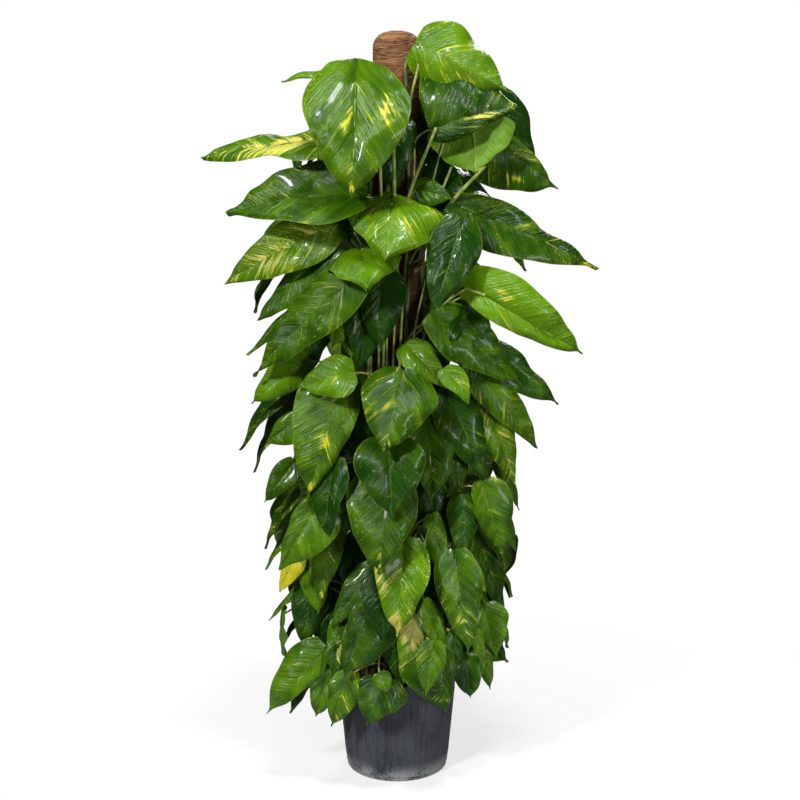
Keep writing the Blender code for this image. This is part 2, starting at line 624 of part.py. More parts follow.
def nearest_vine(point):
    """The vine whose stem is nearest in azimuth."""
    here = azimuth_of(point)
    return min(range(VINE_COUNT), key=lambda i: abs((vine_azimuth(i) - here + 180.0) % 360.0 - 180.0))


def place_leaf(maker, placed):
    """Try small changes until blade and stalk cross nothing; returns the leaf, its vine and node shift."""
    for shift, roll_change in trials():
        leaf = maker(shift, roll_change)
        test = leaf.solid(BLADE_THICKNESS + 2.0 * BLADE_CLEARANCE, 1.03)
        if placed.crosses(*test):
            continue
        nearest = nearest_vine(leaf.base)
        for turn in VINE_TURNS:
            vine = (nearest + turn) % VINE_COUNT
            for node_shift in NODE_SHIFTS:
                stalk = stalk_solid(leaf, vine, node_shift, 0.0012)
                if not placed.crosses(*stalk, skip=("stem", vine)):
                    return leaf, vine, node_shift
    return None


def all_leaf_makers():
    """One maker for each leaf: the front list first, then the rule's."""
    makers = []
    for index, row in enumerate(FRONT_LEAVES):
        shape = leaf_shape(random.Random(1000 + index), row[8:])
        makers.append(lambda shift, roll, row=row, shape=shape: front_leaf(row, shape, shift, roll))
    for index, draw in enumerate(rule_draws()):
        if index in RULE_LEFT_OUT:
            continue
        shape = leaf_shape(random.Random(5000 + index))
        makers.append(lambda shift, roll, draw=draw, shape=shape: rule_leaf(draw, shape, shift, roll))
    return makers


def place_leaves(obstacles):
    """Place every leaf clear of the obstacles and of each other: number, leaf, vine and node shift."""
    placed = Placed()
    for obstacle in obstacles:
        points = [vertex.co.copy() for vertex in obstacle.data.vertices]
        faces = [tuple(face.vertices) for face in obstacle.data.polygons]
        placed.add(points, faces, obstacle.name)
    for vine in range(VINE_COUNT):
        placed.add(*stem_solid(vine), ("stem", vine))
    leaves = []
    for number, maker in enumerate(all_leaf_makers()):
        found = place_leaf(maker, placed)
        if found is None:
            print("no clear place for leaf", number)
            continue
        leaf, vine, node_shift = found
        placed.add(*leaf.solid(BLADE_THICKNESS), number)
        placed.add(*stalk_solid(leaf, vine, node_shift), number)
        leaves.append((number, leaf, vine, node_shift))
    return leaves


def make_vines(finish, obstacles):
    """Fuse each vine's stem, stalks and blades into one solid."""
    leaves = place_leaves(obstacles)
    print("leaves placed", len(leaves))
    for vine in range(VINE_COUNT):
        stem = mesh_object("vine_%d" % (vine + 1), *stem_solid(vine), finish, 50.0)
        parts = []
        for _number, leaf, owner, node_shift in leaves:
            if owner == vine:
                parts.append(mesh_object("blade", *leaf.solid(BLADE_THICKNESS), finish, 50.0))
                parts.append(mesh_object("stalk", *stalk_solid(leaf, vine, node_shift), finish, 50.0))
        combine(stem, parts, "UNION", "MANIFOLD")
        stem.data.shade_smooth()
        stem.data.set_sharp_from_angle(angle=math.radians(50.0))


def main():
    clear_scene()
    plastic = material("pot_plastic", (0.038, 0.042, 0.052), 0.55)
    earth = material("potting_soil", (0.035, 0.022, 0.014), 0.95)
    wood = material("stake_wood", (0.42, 0.29, 0.16), 0.7)
    coir = material("coir_fibre", (0.22, 0.12, 0.055), 0.95)
    tie = material("tie_plastic", (0.05, 0.16, 0.06), 0.5)
    leaf_green = material("vine_green", (0.055, 0.16, 0.012), 0.32)

    pot = make_pot(plastic)

    soil_profile = (
        (0.0, POT_FLOOR + GAP),
        (POT_FOOT_RADIUS - POT_WALL - 2 * GAP, POT_FLOOR + GAP),
        (POT_WALL_BASE_RADIUS - POT_WALL - 2 * GAP, POT_FOOT_HEIGHT + 0.002),
        (POT_COLLAR_RADIUS - POT_WALL - 2 * GAP, POT_COLLAR_Z - 0.001),
        (0.092, SOIL_TOP),
        (0.076, SOIL_TOP + 0.002),
        (0.055, SOIL_TOP + 0.001),
        (0.0, SOIL_TOP + 0.002),
    )
    soil = turned("soil", soil_profile, POT_SIDES, earth)
    rng = random.Random(7)
    for vertex in soil.data.vertices:
        if vertex.co.z > SOIL_TOP - 0.0005:
            vertex.co.z += rng.uniform(-SOIL_RELIEF, SOIL_RELIEF)
    cutters = [cylinder(POLE_RADIUS + GAP, POLE_FOOT - GAP, SOIL_TOP + 0.05, sides=POLE_SIDES)]
    cutters.append(cylinder(CORE_RADIUS + GAP, POT_FLOOR - 0.002, SOIL_TOP, sides=CORE_SIDES))
    for vine in range(VINE_COUNT):
        foot = stem_point(vine, STEM_FOOT)
        hole = (STEM_RADIUS + GAP) / math.cos(math.pi / HOLE_SIDES)
        cutters.append(cylinder(hole, STEM_FOOT - GAP, SOIL_TOP + 0.05, foot.x, foot.y, HOLE_SIDES))
    combine(soil, cutters, "DIFFERENCE")

    core_profile = (
        (0.0, POT_FLOOR + GAP),
        (CORE_RADIUS, POT_FLOOR + GAP),
        (CORE_RADIUS, CORE_TOP - 0.003),
        (CORE_RADIUS - 0.003, CORE_TOP),
        (0.0, CORE_TOP),
    )
    turned("pole_core", core_profile, CORE_SIDES, wood)

    bore = CORE_RADIUS + GAP
    sleeve_profile = [(bore, POLE_FOOT), (POLE_RADIUS, POLE_FOOT)]
    sleeve_profile.append((POLE_RADIUS, POLE_TOP - POLE_SHOULDER))
    for step in range(1, 4):
        angle = math.radians(30.0 * step)
        radius = POLE_RADIUS - POLE_SHOULDER * (1.0 - math.cos(angle))
        sleeve_profile.append((radius, POLE_TOP - POLE_SHOULDER * (1.0 - math.sin(angle)) - 0.003))
    sleeve_profile.append((0.0, POLE_TOP))
    sleeve_profile.append((0.0, CORE_TOP + GAP))
    sleeve_profile.append((bore, CORE_TOP + GAP))
    sleeve = turned("coir_sleeve", sleeve_profile, POLE_SIDES, coir, closed_ring=True)

    ties = []
    inner = (POLE_RADIUS + 2 * GAP + 2 * STEM_RADIUS) / math.cos(math.pi / TIE_SIDES)
    for number, height in enumerate(TIE_HEIGHTS):
        low = height - 0.5 * TIE_WIDTH
        high = height + 0.5 * TIE_WIDTH
        outer = inner + TIE_THICKNESS
        profile = ((inner, low), (outer, low), (outer, high), (inner, high))
        ties.append(turned("tie_band_%d" % (number + 1), profile, TIE_SIDES, tie, closed_ring=True))

    make_vines(leaf_green, [pot, soil, sleeve] + ties)


main()
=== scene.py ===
# %% [markdown]
# # Potted golden pothos on a coir pole
# A plain nursery pot holds a coir pole, and eight climbing vines hide most of it behind heart-shaped,
# gold-splashed leaves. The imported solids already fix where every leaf, stalk and stem is. This lesson
# dresses them: fine blades with veins and variegation, tubes for the stalks, wound fibre for the pole,
# ribs for the pot and crumbs for the soil.

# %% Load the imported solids
import math
import random

import bpy
import numpy as np
from mathutils import Matrix, Vector, noise
from mathutils.kdtree import KDTree


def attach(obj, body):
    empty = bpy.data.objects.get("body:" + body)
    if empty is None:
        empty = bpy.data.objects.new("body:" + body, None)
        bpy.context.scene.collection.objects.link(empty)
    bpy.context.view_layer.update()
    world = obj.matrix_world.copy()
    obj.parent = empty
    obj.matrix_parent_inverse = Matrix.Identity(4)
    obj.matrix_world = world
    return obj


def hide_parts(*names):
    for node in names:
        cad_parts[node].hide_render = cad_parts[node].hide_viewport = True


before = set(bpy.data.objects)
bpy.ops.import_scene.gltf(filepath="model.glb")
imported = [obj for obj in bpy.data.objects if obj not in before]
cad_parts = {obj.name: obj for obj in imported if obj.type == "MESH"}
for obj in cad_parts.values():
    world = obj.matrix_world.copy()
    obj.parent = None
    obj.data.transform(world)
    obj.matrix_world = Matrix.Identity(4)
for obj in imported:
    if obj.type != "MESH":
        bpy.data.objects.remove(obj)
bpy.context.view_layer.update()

# %% [markdown]
# ## Camera
# The photograph looks slightly down on the plant from head height. A long lens at 3.4 m gives the pot's
# rim and foot the same flat ellipses. The lens follows from the focal length in pixels that the
# ellipses gave, so the numbers are turned into Blender's millimetres here.

# %% Set the camera
PICTURE = 800
FOCAL_PIXELS = 1784.0
SENSOR = 36.0
EYE = Vector((0.006, -3.400, 1.600))
PITCH = math.radians(13.8)


def link(item):
    """Put an object into the scene."""
    bpy.context.collection.objects.link(item)
    return item


lens = bpy.data.cameras.new("camera")
lens.sensor_width = SENSOR
lens.lens = FOCAL_PIXELS / PICTURE * SENSOR
lens.clip_end = 200.0
camera = link(bpy.data.objects.new("camera", lens))
camera.location = EYE
camera.rotation_euler = (math.pi / 2.0 - PITCH, 0.0, 0.0)
bpy.context.scene.camera = camera
print("lens", round(lens.lens, 2), "mm")

# %% [markdown]
# ## Node trees as arithmetic
# Every finish below is a sum of masks and colours, and every grown piece needs some sums too. Writing
# them node by node hides the idea, so one small class lets a socket take part in Python arithmetic,
# and one method adds any other node. The same two serve materials and Geometry Nodes.

# %% Sockets that add, multiply and compare
class Wire:
    """One output socket; arithmetic on it adds Math nodes to its tree."""

    def __init__(self, graph, node, socket):
        self.graph = graph
        self.node = node
        self.socket = socket

    def out(self, name):
        """Another output of the same node."""
        return Wire(self.graph, self.node, self.graph.pick(self.node.outputs, name))

    def maths(self, operation, *terms):
        return self.graph.add("ShaderNodeMath", {"operation": operation}, dict(enumerate(terms)))

    def __add__(self, other):
        return self.maths("ADD", self, other)

    def __sub__(self, other):
        return self.maths("SUBTRACT", self, other)

    def __rsub__(self, other):
        return self.maths("SUBTRACT", other, self)

    def __mul__(self, other):
        return self.maths("MULTIPLY", self, other)

    def __truediv__(self, other):
        return self.maths("DIVIDE", self, other)

    def __pow__(self, other):
        return self.maths("POWER", self, other)

    def __abs__(self):
        return self.maths("ABSOLUTE", self)

    __radd__ = __add__
    __rmul__ = __mul__

    def call(self, operation, *terms):
        """A Math operation that Python has no operator for, such as SINE or MINIMUM."""
        return self.maths(operation, self, *terms)

    def rise(self, low, high):
        """0 below low and 1 above high, with a soft step between them."""
        return self.graph.add("ShaderNodeMapRange", {"interpolation_type": "SMOOTHSTEP"},
                              {"Value": self, "From Min": low, "From Max": high})

    def parts(self):
        """The three numbers of a vector."""
        split = self.graph.add("ShaderNodeSeparateXYZ", {}, {"Vector": self})
        return split, split.out("Y"), split.out("Z")


class Graph:
    """A node tree with one method that adds any node to it."""

    def __init__(self, tree):
        self.tree = tree

    @staticmethod
    def pick(sockets, key):
        """A socket by its place or by its name, among those in use."""
        if isinstance(key, int):
            return sockets[key]
        return next(socket for socket in sockets if socket.name == key and socket.enabled)

    def add(self, kind, settings=None, sockets=None):
        """Add a node: its settings first, then the values or links of its inputs; gives its first output."""
        node = self.tree.nodes.new(kind)
        for name, value in (settings or {}).items():
            setattr(node, name, value)
        for key, value in (sockets or {}).items():
            target = self.pick(node.inputs, key)
            if isinstance(value, Wire):
                self.tree.links.new(value.socket, target)
            elif value is not None:
                target.default_value = value
        first = next((socket for socket in node.outputs if socket.enabled), None)
        return Wire(self, node, first)

    def vector(self, x=0.0, y=0.0, z=0.0):
        return self.add("ShaderNodeCombineXYZ", {}, {"X": x, "Y": y, "Z": z})

    def mix(self, share, a, b):
        """Colour a where share is 0 and b where it is 1."""
        return self.add("ShaderNodeMix", {"data_type": "RGBA"}, {"Factor": share, "A": a, "B": b})

    def speckle(self, place, scale=1.0, detail=2.0, roughness=0.5, distortion=0.0):
        """Soft noise around 0.5."""
        return self.add("ShaderNodeTexNoise", {}, {"Vector": place, "Scale": scale, "Detail": detail,
                                                   "Roughness": roughness, "Distortion": distortion})


def colour(red, green, blue):
    return (red, green, blue, 1.0)


def new_finish(name, roughness=0.5, **constants):
    """A material with its Principled shader; what is the same all over is set on the shader itself."""
    made = bpy.data.materials.new(name)
    made.use_nodes = True
    graph = Graph(made.node_tree)
    shader = made.node_tree.nodes["Principled BSDF"]
    shader.inputs["Roughness"].default_value = roughness
    for socket, value in constants.items():
        shader.inputs[socket.replace("_", " ")].default_value = value
    return made, graph, shader


def feed(graph, shader, **wires):
    """Link wires to the shader's sockets."""
    for socket, wire in wires.items():
        graph.tree.links.new(wire.socket, shader.inputs[socket.replace("_", " ")])


def feed_bump(graph, shader, height, strength, distance):
    """Let a height wire disturb the normal."""
    bump = graph.add("ShaderNodeBump", {}, {"Height": height, "Strength": strength, "Distance": distance})
    graph.tree.links.new(bump.socket, shader.inputs["Normal"])


print("node helpers ready")

# %% [markdown]
# ## Floor and light
# The plant was photographed in even daylight on white. A pale floor that fades out away from the pot
# keeps its soft shadow without a horizon, and large soft lights from the front left, the right, above
# and behind give the leaves broad highlights from every side.

# %% Lay the floor
FLOOR_RADIUS = 3.2
FLOOR_SIDES = 96


def floor_finish():
    """Pale matt card that fades to nothing towards its edge."""
    made, graph, shader = new_finish("floor_card", 0.9, Specular_IOR_Level=0.1)
    shader.inputs["Base Color"].default_value = colour(0.93, 0.93, 0.92)
    place = graph.add("ShaderNodeTexCoord").out("Object")
    x, y, _z = place.parts()
    away = (x * x + y * y).call("SQRT")
    feed(graph, shader, Alpha=(1.0 - away.rise(0.12, 0.36 * FLOOR_RADIUS)) * 0.34)
    return made


ring = [2.0 * math.pi * side / FLOOR_SIDES for side in range(FLOOR_SIDES)]
floor_mesh = bpy.data.meshes.new("floor")
floor_mesh.from_pydata([(FLOOR_RADIUS * math.cos(a), FLOOR_RADIUS * math.sin(a), -0.0004) for a in ring],
                       [], [tuple(range(FLOOR_SIDES))])
floor_mesh.materials.append(floor_finish())
floor = link(bpy.data.objects.new("floor", floor_mesh))
print("floor", 2.0 * FLOOR_RADIUS, "m across")

# %% Hang the lights
LIGHTS = (
    ("key", (-3.4, -4.4, 4.9), 0.8, 370.0),
    ("fill", (2.8, -4.3, 1.3), 1.2, 80.0),
    ("top", (0.6, -1.4, 6.4), 0.9, 200.0),
    ("back", (0.6, 3.2, 2.6), 1.6, 66.0),
)
AIM = Vector((0.0, 0.0, 0.8))
for name, place, size, power in LIGHTS:
    lamp = bpy.data.lights.new(name, "AREA")
    lamp.shape = "DISK"
    lamp.size = size
    lamp.energy = power
    lamp_object = link(bpy.data.objects.new(name, lamp))
    lamp_object.location = place
    lamp_object.rotation_euler = (AIM - Vector(place)).to_track_quat("-Z", "Y").to_euler()

AIR = 0.13
GLOSS_AIR = 0.04
world = bpy.data.worlds.new("air")
bpy.context.scene.world = world
world.use_nodes = True
air = Graph(world.node_tree)
sky = world.node_tree.nodes["Background"]
rays = air.add("ShaderNodeLightPath")
strength = rays.out("Is Camera Ray") * (1.0 - AIR) + rays.out("Is Glossy Ray") * (GLOSS_AIR - AIR) + AIR
sky.inputs["Color"].default_value = colour(1.0, 1.0, 1.0)
world.node_tree.links.new(strength.socket, sky.inputs["Strength"])
bpy.context.scene.view_settings.view_transform = "Standard"
print("lights", len(LIGHTS))

# %% [markdown]
# ## Sizes
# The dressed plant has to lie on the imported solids, so it starts from the same measurements: the pot,
# the pole, the ties and the eight stems. All are metres.

# %% Sizes of pot, pole and stems
POT_HEIGHT = 0.212
POT_FOOT_RADIUS = 0.1015
POT_FOOT_HEIGHT = 0.008
POT_WALL_BASE_RADIUS = 0.1030
POT_COLLAR_RADIUS = 0.1188
POT_COLLAR_Z = 0.184
POT_RIM_RADIUS = 0.1225
POT_WALL = 0.0022
DRAIN_COUNT = 8
DRAIN_RADIUS = 0.007
DRAIN_RING = 0.068
SOIL_TOP = 0.188
SOIL_RELIEF = 0.0025
POLE_RADIUS = 0.045
POLE_TOP = 1.476
POLE_SHOULDER = 0.022
POLE_FOOT = 0.100
POLE_SIDES = 24
CORE_RADIUS = 0.014
CORE_TOP = 1.440
TIE_HEIGHTS = (0.52, 1.30)
TIE_WIDTH = 0.006
TIE_THICKNESS = 0.0012

VINE_COUNT = 8
VINE_FIRST_AZIMUTH = -22.0
VINE_TOPS = (1.400, 1.425, 1.370, 1.330, 1.385, 1.310, 1.365, 1.350)
STEM_RADIUS = 0.0045
STEM_TIP_SHARE = 0.8
GAP = 0.0003
STEM_SOIL_RING = 0.064
STEM_LEAN_IN = 0.270
STEM_WANDER = 0.0022
STALK_RADIUS = 0.0021

BLADE_THICKNESS = 0.0010
BLADE_ROWS = (0.0, 0.20, 0.48, 0.78, 1.0)
SMALL_BLADE_ROWS = (0.0, 0.28, 0.68, 1.0)
SMALL_BLADE = 0.135
LOBE_SHARE = 0.16

# %% [markdown]
# ## Where every leaf is
# A pothos leaf hangs from the end of its stalk, which rises from a node on the stem. The front leaves
# were read from the photograph one by one, as stalk end, tip, width and roll on an upright plane
# before the pole. The hidden sides follow a golden-angle spiral, which is how such shoots share light.
# The table and the rule below are those that the solids were made from.

# %% The front leaves as read
ELEVATION_Y = -0.150
CM = 0.01

# Centimetres on the front elevation, nearest the eye first: stalk end x, z; tip x, z; blade width;
# distance before the axis of stalk end and tip; roll in degrees; then, where it differs from the usual
# leaf, lobe length, skew and sway in percent, and twist in degrees
FRONT_LEAVES = (
    (-7.4, 136.6, -8.2, 117.6, 18.2, 13.0, 20.0, 0, 38, -9, 0, 6),
    (-0.8, 116.5, -2.1, 105.8, 15.6, 11.0, 20.0, 0, 16, -12, 0, 0),
    (4.5, 145.5, 20.2, 137.2, 11.4, 9.0, 11.0, 12, 9, -16, 0, 0),
    (7.0, 130.7, 21.8, 134.6, 13.4, 13.0, 11.0, 5, 8, -58, -2, 0),
    (0.8, 84.0, -2.4, 69.9, 13.5, 15.0, 21.0, 0, 18, -4, 0, 0),
    (-1.9, 64.5, -3.4, 45.2, 12.8, 15.0, 20.0, 0, 12, 8, 0, 0),
    (-8.4, 103.0, -27.1, 84.5, 9.6, 15.0, 10.0, 20, 14, 0, 0, -8),
    (16.3, 100.1, 34.8, 88.9, 9.0, 13.0, 9.0, 0, 24, -28, 0, 0),
    (1.4, 51.0, 0.0, 32.8, 10.0, 13.5, 17.0, 0, 12, 0, 0, 0),
    (7.0, 31.0, 5.6, 20.6, 5.4, 17.0, 18.0, 0, 12, 0, 0, 0),
    (8.2, 29.5, 9.7, 17.3, 10.4, 14.5, 15.5, 0, 12, 50, 0, 0),
    (-2.9, 23.4, -5.9, 14.4, 9.2, 14.5, 16.0, 0, 14, -12, 0, 0),
    (-5.3, 39.6, -10.3, 24.3, 9.6, 13.0, 15.5, 0, 10, -44, 0, 0),
    (-14.8, 60.0, -22.6, 46.6, 8.6, 13.0, 12.5, 0, 10, -30, 0, 0),
    (-10.3, 83.0, -17.1, 61.0, 11.4, 12.0, 15.0, 0, 14, 26, 0, 0),
    (11.6, 112.6, 6.6, 96.6, 9.0, 14.0, 17.0, 8, 14, 0, 0, 0),
    (11.2, 48.8, 13.9, 28.9, 8.3, 12.5, 14.5, 0, 10, 0, 0, 0),
    (-9.0, 118.6, -31.2, 115.4, 12.4, 13.0, 9.0, 32, 16, 0, 0, 0),
    (-11.0, 128.8, -35.6, 125.5, 11.0, 9.0, 5.0, 66, 16, 0, 0, 14),
    (13.6, 115.8, 37.3, 105.1, 9.0, 10.0, 4.0, 16, 16, 20, 0, 66),
    (16.6, 129.4, 29.6, 119.7, 10.2, 8.0, 6.0, 8, 14, 44, 0, 0),
    (-13.5, 112.3, -32.0, 102.1, 9.6, 10.0, 6.0, 15, 16, 0, 0, 0),
    (-12.6, 108.4, -26.0, 95.3, 7.8, 10.0, 7.0, 28, 14, -30, 0, 0),
    (-6.3, 108.8, -5.4, 101.4, 13.4, 10.0, 20.0, 0, 10, 0, 0, 0),
    (13.6, 131.2, 14.5, 122.6, 12.4, 7.5, 11.0, 165, 12, 0, 0, 0),
    (3.5, 119.6, 10.4, 118.0, 5.0, 9.0, 13.0, 10, 14, 0, 0, 0),
    (12.2, 110.5, 13.0, 96.5, 5.4, 8.0, 10.0, 25, 12, 0, 0, 0),
    (8.5, 95.5, 23.5, 83.0, 9.6, 11.0, 8.0, 18, 14, 0, 0, 0),
    (15.0, 91.6, 30.5, 79.2, 8.0, 7.0, 4.0, 24, 12, 24, 0, 0),
    (2.2, 90.2, 9.3, 82.4, 6.4, 11.0, 14.0, 15, 12, 0, 0, 0),
    (15.3, 85.4, 26.6, 70.7, 7.0, 9.0, 6.0, 18, 12, 0, 0, 0),
    (9.5, 85.5, 13.5, 79.5, 4.8, 14.0, 15.0, 10),
    (-9.0, 85.4, -18.5, 82.4, 7.8, 15.0, 13.0, 15, 12, 0, 0, 0),
    (-17.8, 87.6, -27.4, 79.4, 6.8, 8.0, 6.0, 5, 12, 0, 0, 0),
    (-1.5, 71.0, -0.8, 56.8, 12.5, 11.0, 14.0, 0, 14, 0, 0, 0),
    (5.5, 75.5, 6.3, 60.0, 8.5, 9.0, 11.0, 15),
    (10.0, 80.0, 16.8, 64.5, 8.6, 9.0, 9.0, 15, 14, 0, 0, 0),
    (15.5, 82.0, 22.7, 63.2, 7.8, 6.0, 6.0, 15, 14, 0, 0, 0),
    (16.6, 62.8, 20.2, 49.7, 7.4, 9.0, 8.0, 0, 12, -22, 0, 0),
    (-10.0, 100.0, -12.0, 90.0, 8.4, 9.0, 12.0, 10),
    (-8.0, 93.5, -8.5, 88.0, 5.2, 11.0, 13.0, 0),
    (-12.0, 59.3, -14.8, 39.2, 7.4, 9.0, 11.0, 0, 10, 12, 0, 0),
    (-5.3, 46.1, -12.8, 34.7, 5.8, 10.0, 12.0, 5, 12, 0, 0, 0),
    (-9.6, 36.8, -12.8, 24.0, 5.8, 10.0, 12.0, 0, 10, 0, 0, 0),
    (-14.9, 29.4, -25.7, 16.7, 7.4, 11.0, 9.0, 0, 10, 30, 0, 0),
    (-9.7, 24.8, -12.9, 14.0, 6.2, 14.0, 14.5, 0, 10, -15, 0, 0),
    (-13.4, 25.4, -15.9, 16.3, 5.6, 13.0, 13.0, 0, 10, 0, 0, 0),
    (-3.4, 25.2, -1.6, 21.0, 3.4, 16.0, 16.5, 0, 8, 0, 0, 0),
    (3.4, 38.4, 1.3, 22.9, 5.8, 13.5, 15.0, 5, 8, 0, 0, 0),
    (5.4, 53.6, 3.8, 36.2, 6.0, 10.5, 12.5, 112, 10, 0, -6, 0),
    (7.0, 56.2, 9.7, 45.0, 4.2, 10.0, 11.5, 25),
    (12.7, 60.6, 12.9, 48.2, 5.8, 9.0, 10.0, 10, 10, 0, 0, 0),
    (14.4, 48.0, 17.3, 41.4, 2.0, 8.5, 8.5, 20, 8, 0, 0, 0),
    (14.2, 53.8, 21.0, 36.2, 5.6, 5.0, 4.0, 35, 12, 10, 0, 0),
    (16.8, 38.8, 19.3, 28.7, 6.6, 7.5, 8.5, 0, 10, -22, 0, 0),
    (5.5, 39.0, 9.9, 29.6, 4.6, 11.0, 12.0, 10),
    (11.4, 33.6, 11.2, 24.8, 3.4, 12.5, 13.0, 15),
    (13.3, 28.8, 14.4, 20.0, 6.0, 11.0, 11.5, 0, 10, 0, 0, 0),
    (16.4, 31.2, 18.3, 21.8, 3.8, 8.0, 8.5, 10, 8, 0, 0, 0),
    (14.9, 38.6, 18.0, 30.2, 4.2, 6.0, 6.5, 15),
    (-16.6, 49.6, -15.1, 37.4, 6.4, 7.0, 8.0, 10, 10, 0, 0, 0),
    (-19.3, 49.8, -22.6, 42.1, 4.2, 7.0, 6.0, 5, 8, -20, 0, 0),
    (-15.9, 44.2, -18.3, 30.6, 7.2, 5.0, 6.0, 5, 10, 0, 0, 0),
    (11.0, 72.0, 12.0, 60.5, 6.0, 8.0, 9.0, 25),
    (17.0, 63.6, 22.9, 50.3, 5.6, 4.0, 4.0, 22, 12, 8, 0, 0),
    (19.5, 67.6, 23.4, 58.5, 3.8, 1.0, 1.0, 45, 10, 0, 0, 0),
    (-19.7, 67.6, -25.3, 60.0, 4.8, 5.0, 5.0, 5, 10, 0, 0, 0),
    (-15.0, 78.8, -25.1, 71.4, 7.8, 5.0, 4.0, 20, 12, -22, 0, 0),
    (-18.9, 84.0, -29.9, 70.4, 7.6, 2.0, 1.0, 64, 12, 0, 0, 0),
    (-19.0, 82.0, -27.3, 66.0, 7.0, -1.0, -1.0, 66, 12, 0, 3, 0),
    (-15.0, 100.4, -28.0, 88.8, 4.6, 3.0, 1.0, 50, 12, 0, 0, 0),
    (-8.5, 140.2, -20.9, 139.2, 5.2, 3.0, 0.0, 70, 10, 0, 0, 0),
    (-19.0, 61.6, -25.3, 50.8, 5.2, 2.0, 1.0, 66, 10, 0, 0, 0),
    (-19.5, 57.4, -25.4, 46.6, 5.0, -1.0, -1.0, 68, 10, 0, 0, 0),
    (-18.3, 44.0, -24.9, 36.3, 4.2, 2.0, 1.0, 72, 8, 0, 0, 0),
    (-16.4, 38.0, -21.9, 32.0, 4.0, 1.0, 0.0, 58, 8, 0, 0, 0),
    (15.4, 34.0, 16.5, 26.9, 2.6, 10.0, 10.0, 15, 8, 0, 0, 0),
    (-7.0, 80.0, -7.6, 66.5, 9.0, 7.0, 8.0, 10),
    (-7.6, 66.0, -8.6, 52.5, 8.0, 7.0, 8.0, -10),
    (-7.4, 52.0, -7.0, 38.5, 7.5, 6.5, 8.0, 10),
    (-6.4, 37.0, -7.2, 26.0, 7.0, 8.0, 9.5, 0),
    (8.6, 59.0, 8.2, 45.0, 7.5, 6.5, 8.0, -10),
    (8.2, 45.5, 8.6, 32.0, 7.0, 7.0, 8.5, 10),
    (9.4, 104.5, 10.2, 92.0, 8.0, 7.0, 8.0, 10),
    (-9.2, 123.0, -8.6, 110.0, 8.5, 7.0, 9.0, -10),
    (-2.6, 102.5, -3.0, 89.5, 8.0, 6.5, 7.5, 8),
    (0.4, 131.0, -0.4, 118.5, 7.0, 6.5, 8.0, -8),
    (-6.2, 99.0, -7.0, 86.0, 8.0, 7.5, 8.5, 12),
    (7.4, 122.5, 8.6, 109.0, 8.0, 6.5, 8.0, 10),
    (6.4, 92.0, 6.0, 79.0, 8.0, 6.5, 8.0, -8),
    (0.5, 34.5, 0.2, 22.5, 7.5, 8.5, 9.5, 5),
    (-12.0, 67.0, -13.2, 53.0, 7.5, 6.0, 7.0, 10),
    (-2.0, 46.0, -2.6, 32.0, 8.0, 7.0, 8.5, 0),
    (13.0, 96.0, 14.0, 82.5, 8.0, 6.0, 7.0, 10),
    (-11.6, 50.0, -12.4, 37.0, 7.5, 5.0, 6.0, 10),
    (7.2, 69.0, 7.4, 55.5, 8.0, 5.5, 6.5, -10),
)
print("front leaves", len(FRONT_LEAVES))

# %% The rule for side and back leaves
RULE_SEED = 41
RULE_COUNT = 66
RULE_LEFT_OUT = (29, 45, 65)
RULE_FRONT_GAP = 76.0
RULE_LOW = 0.235
RULE_HIGH = 1.420
GOLDEN_ANGLE = 137.508

# How far leaves may reach from the axis at each height
REACH = ((0.14, 0.225), (0.45, 0.235), (0.75, 0.265), (1.00, 0.325), (1.22, 0.330), (1.38, 0.225), (1.50, 0.120))

BACK_REACH = 0.18

# Trials for a leaf that would cross another: shift along the line of sight or outwards, change of roll
SHIFTS = (0.0, -0.01, 0.01, -0.02, 0.02, -0.03, 0.03, -0.04, 0.04, -0.055, 0.055, 0.07, 0.085)
ROLL_CHANGES = (0, 10, -10, 20, -20, 32, -32)
ROLL_COST = 0.0012
NODE_SHIFTS = (0.0, 0.03, -0.03, 0.06, -0.06, 0.10, -0.10)
VINE_TURNS = (0, 1, -1)


print("rule leaves", RULE_COUNT)

# %% Where the stems run
def azimuth_vector(degrees):
    """Level unit vector at an azimuth: 0 faces the viewer, 90 is to the right."""
    angle = math.radians(degrees)
    return Vector((math.sin(angle), -math.cos(angle), 0.0))


def azimuth_of(point):
    """The azimuth of a point about the axis, in degrees."""
    return math.degrees(math.atan2(point.x, -point.y))


def vine_azimuth(index):
    return VINE_FIRST_AZIMUTH + index * 360.0 / VINE_COUNT


def stem_point(index, z):
    """Centre of a vine's stem at a height: out of the soil, leaning in, then up along the pole."""
    against_pole = POLE_RADIUS + GAP + STEM_RADIUS
    if z < SOIL_TOP + 0.012:
        return azimuth_vector(vine_azimuth(index)) * STEM_SOIL_RING + Vector((0.0, 0.0, z))
    if z < STEM_LEAN_IN:
        share = (z - SOIL_TOP - 0.012) / (STEM_LEAN_IN - SOIL_TOP - 0.012)
        share = share * share * (3.0 - 2.0 * share)
        radius = STEM_SOIL_RING + (against_pole - STEM_SOIL_RING) * share
        return azimuth_vector(vine_azimuth(index)) * radius + Vector((0.0, 0.0, z))
    nearest = min(abs(z - height) for height in TIE_HEIGHTS + (STEM_LEAN_IN,))
    loose = min(1.0, nearest / 0.05)
    radius = against_pole + STEM_WANDER * loose * (1.0 + math.sin(37.0 * z + 2.1 * index))
    turn = 4.0 * loose * math.sin(11.0 * z + 1.7 * index)
    return azimuth_vector(vine_azimuth(index) + turn) * radius + Vector((0.0, 0.0, z))


print("first stem leaves the soil at", [round(value, 3) for value in stem_point(0, SOIL_TOP)])

# %% [markdown]
# ## The bend of a blade
# A flat heart would look cut from paper. A real blade arches along its midrib, folds up at both sides,
# cups, ripples along its edge and twists a little, and its lobes reach back past the stalk. One
# function gives the blade's middle surface from two shares, s along the midrib and u across it, so
# the coarse solid and the fine blade are the same leaf.

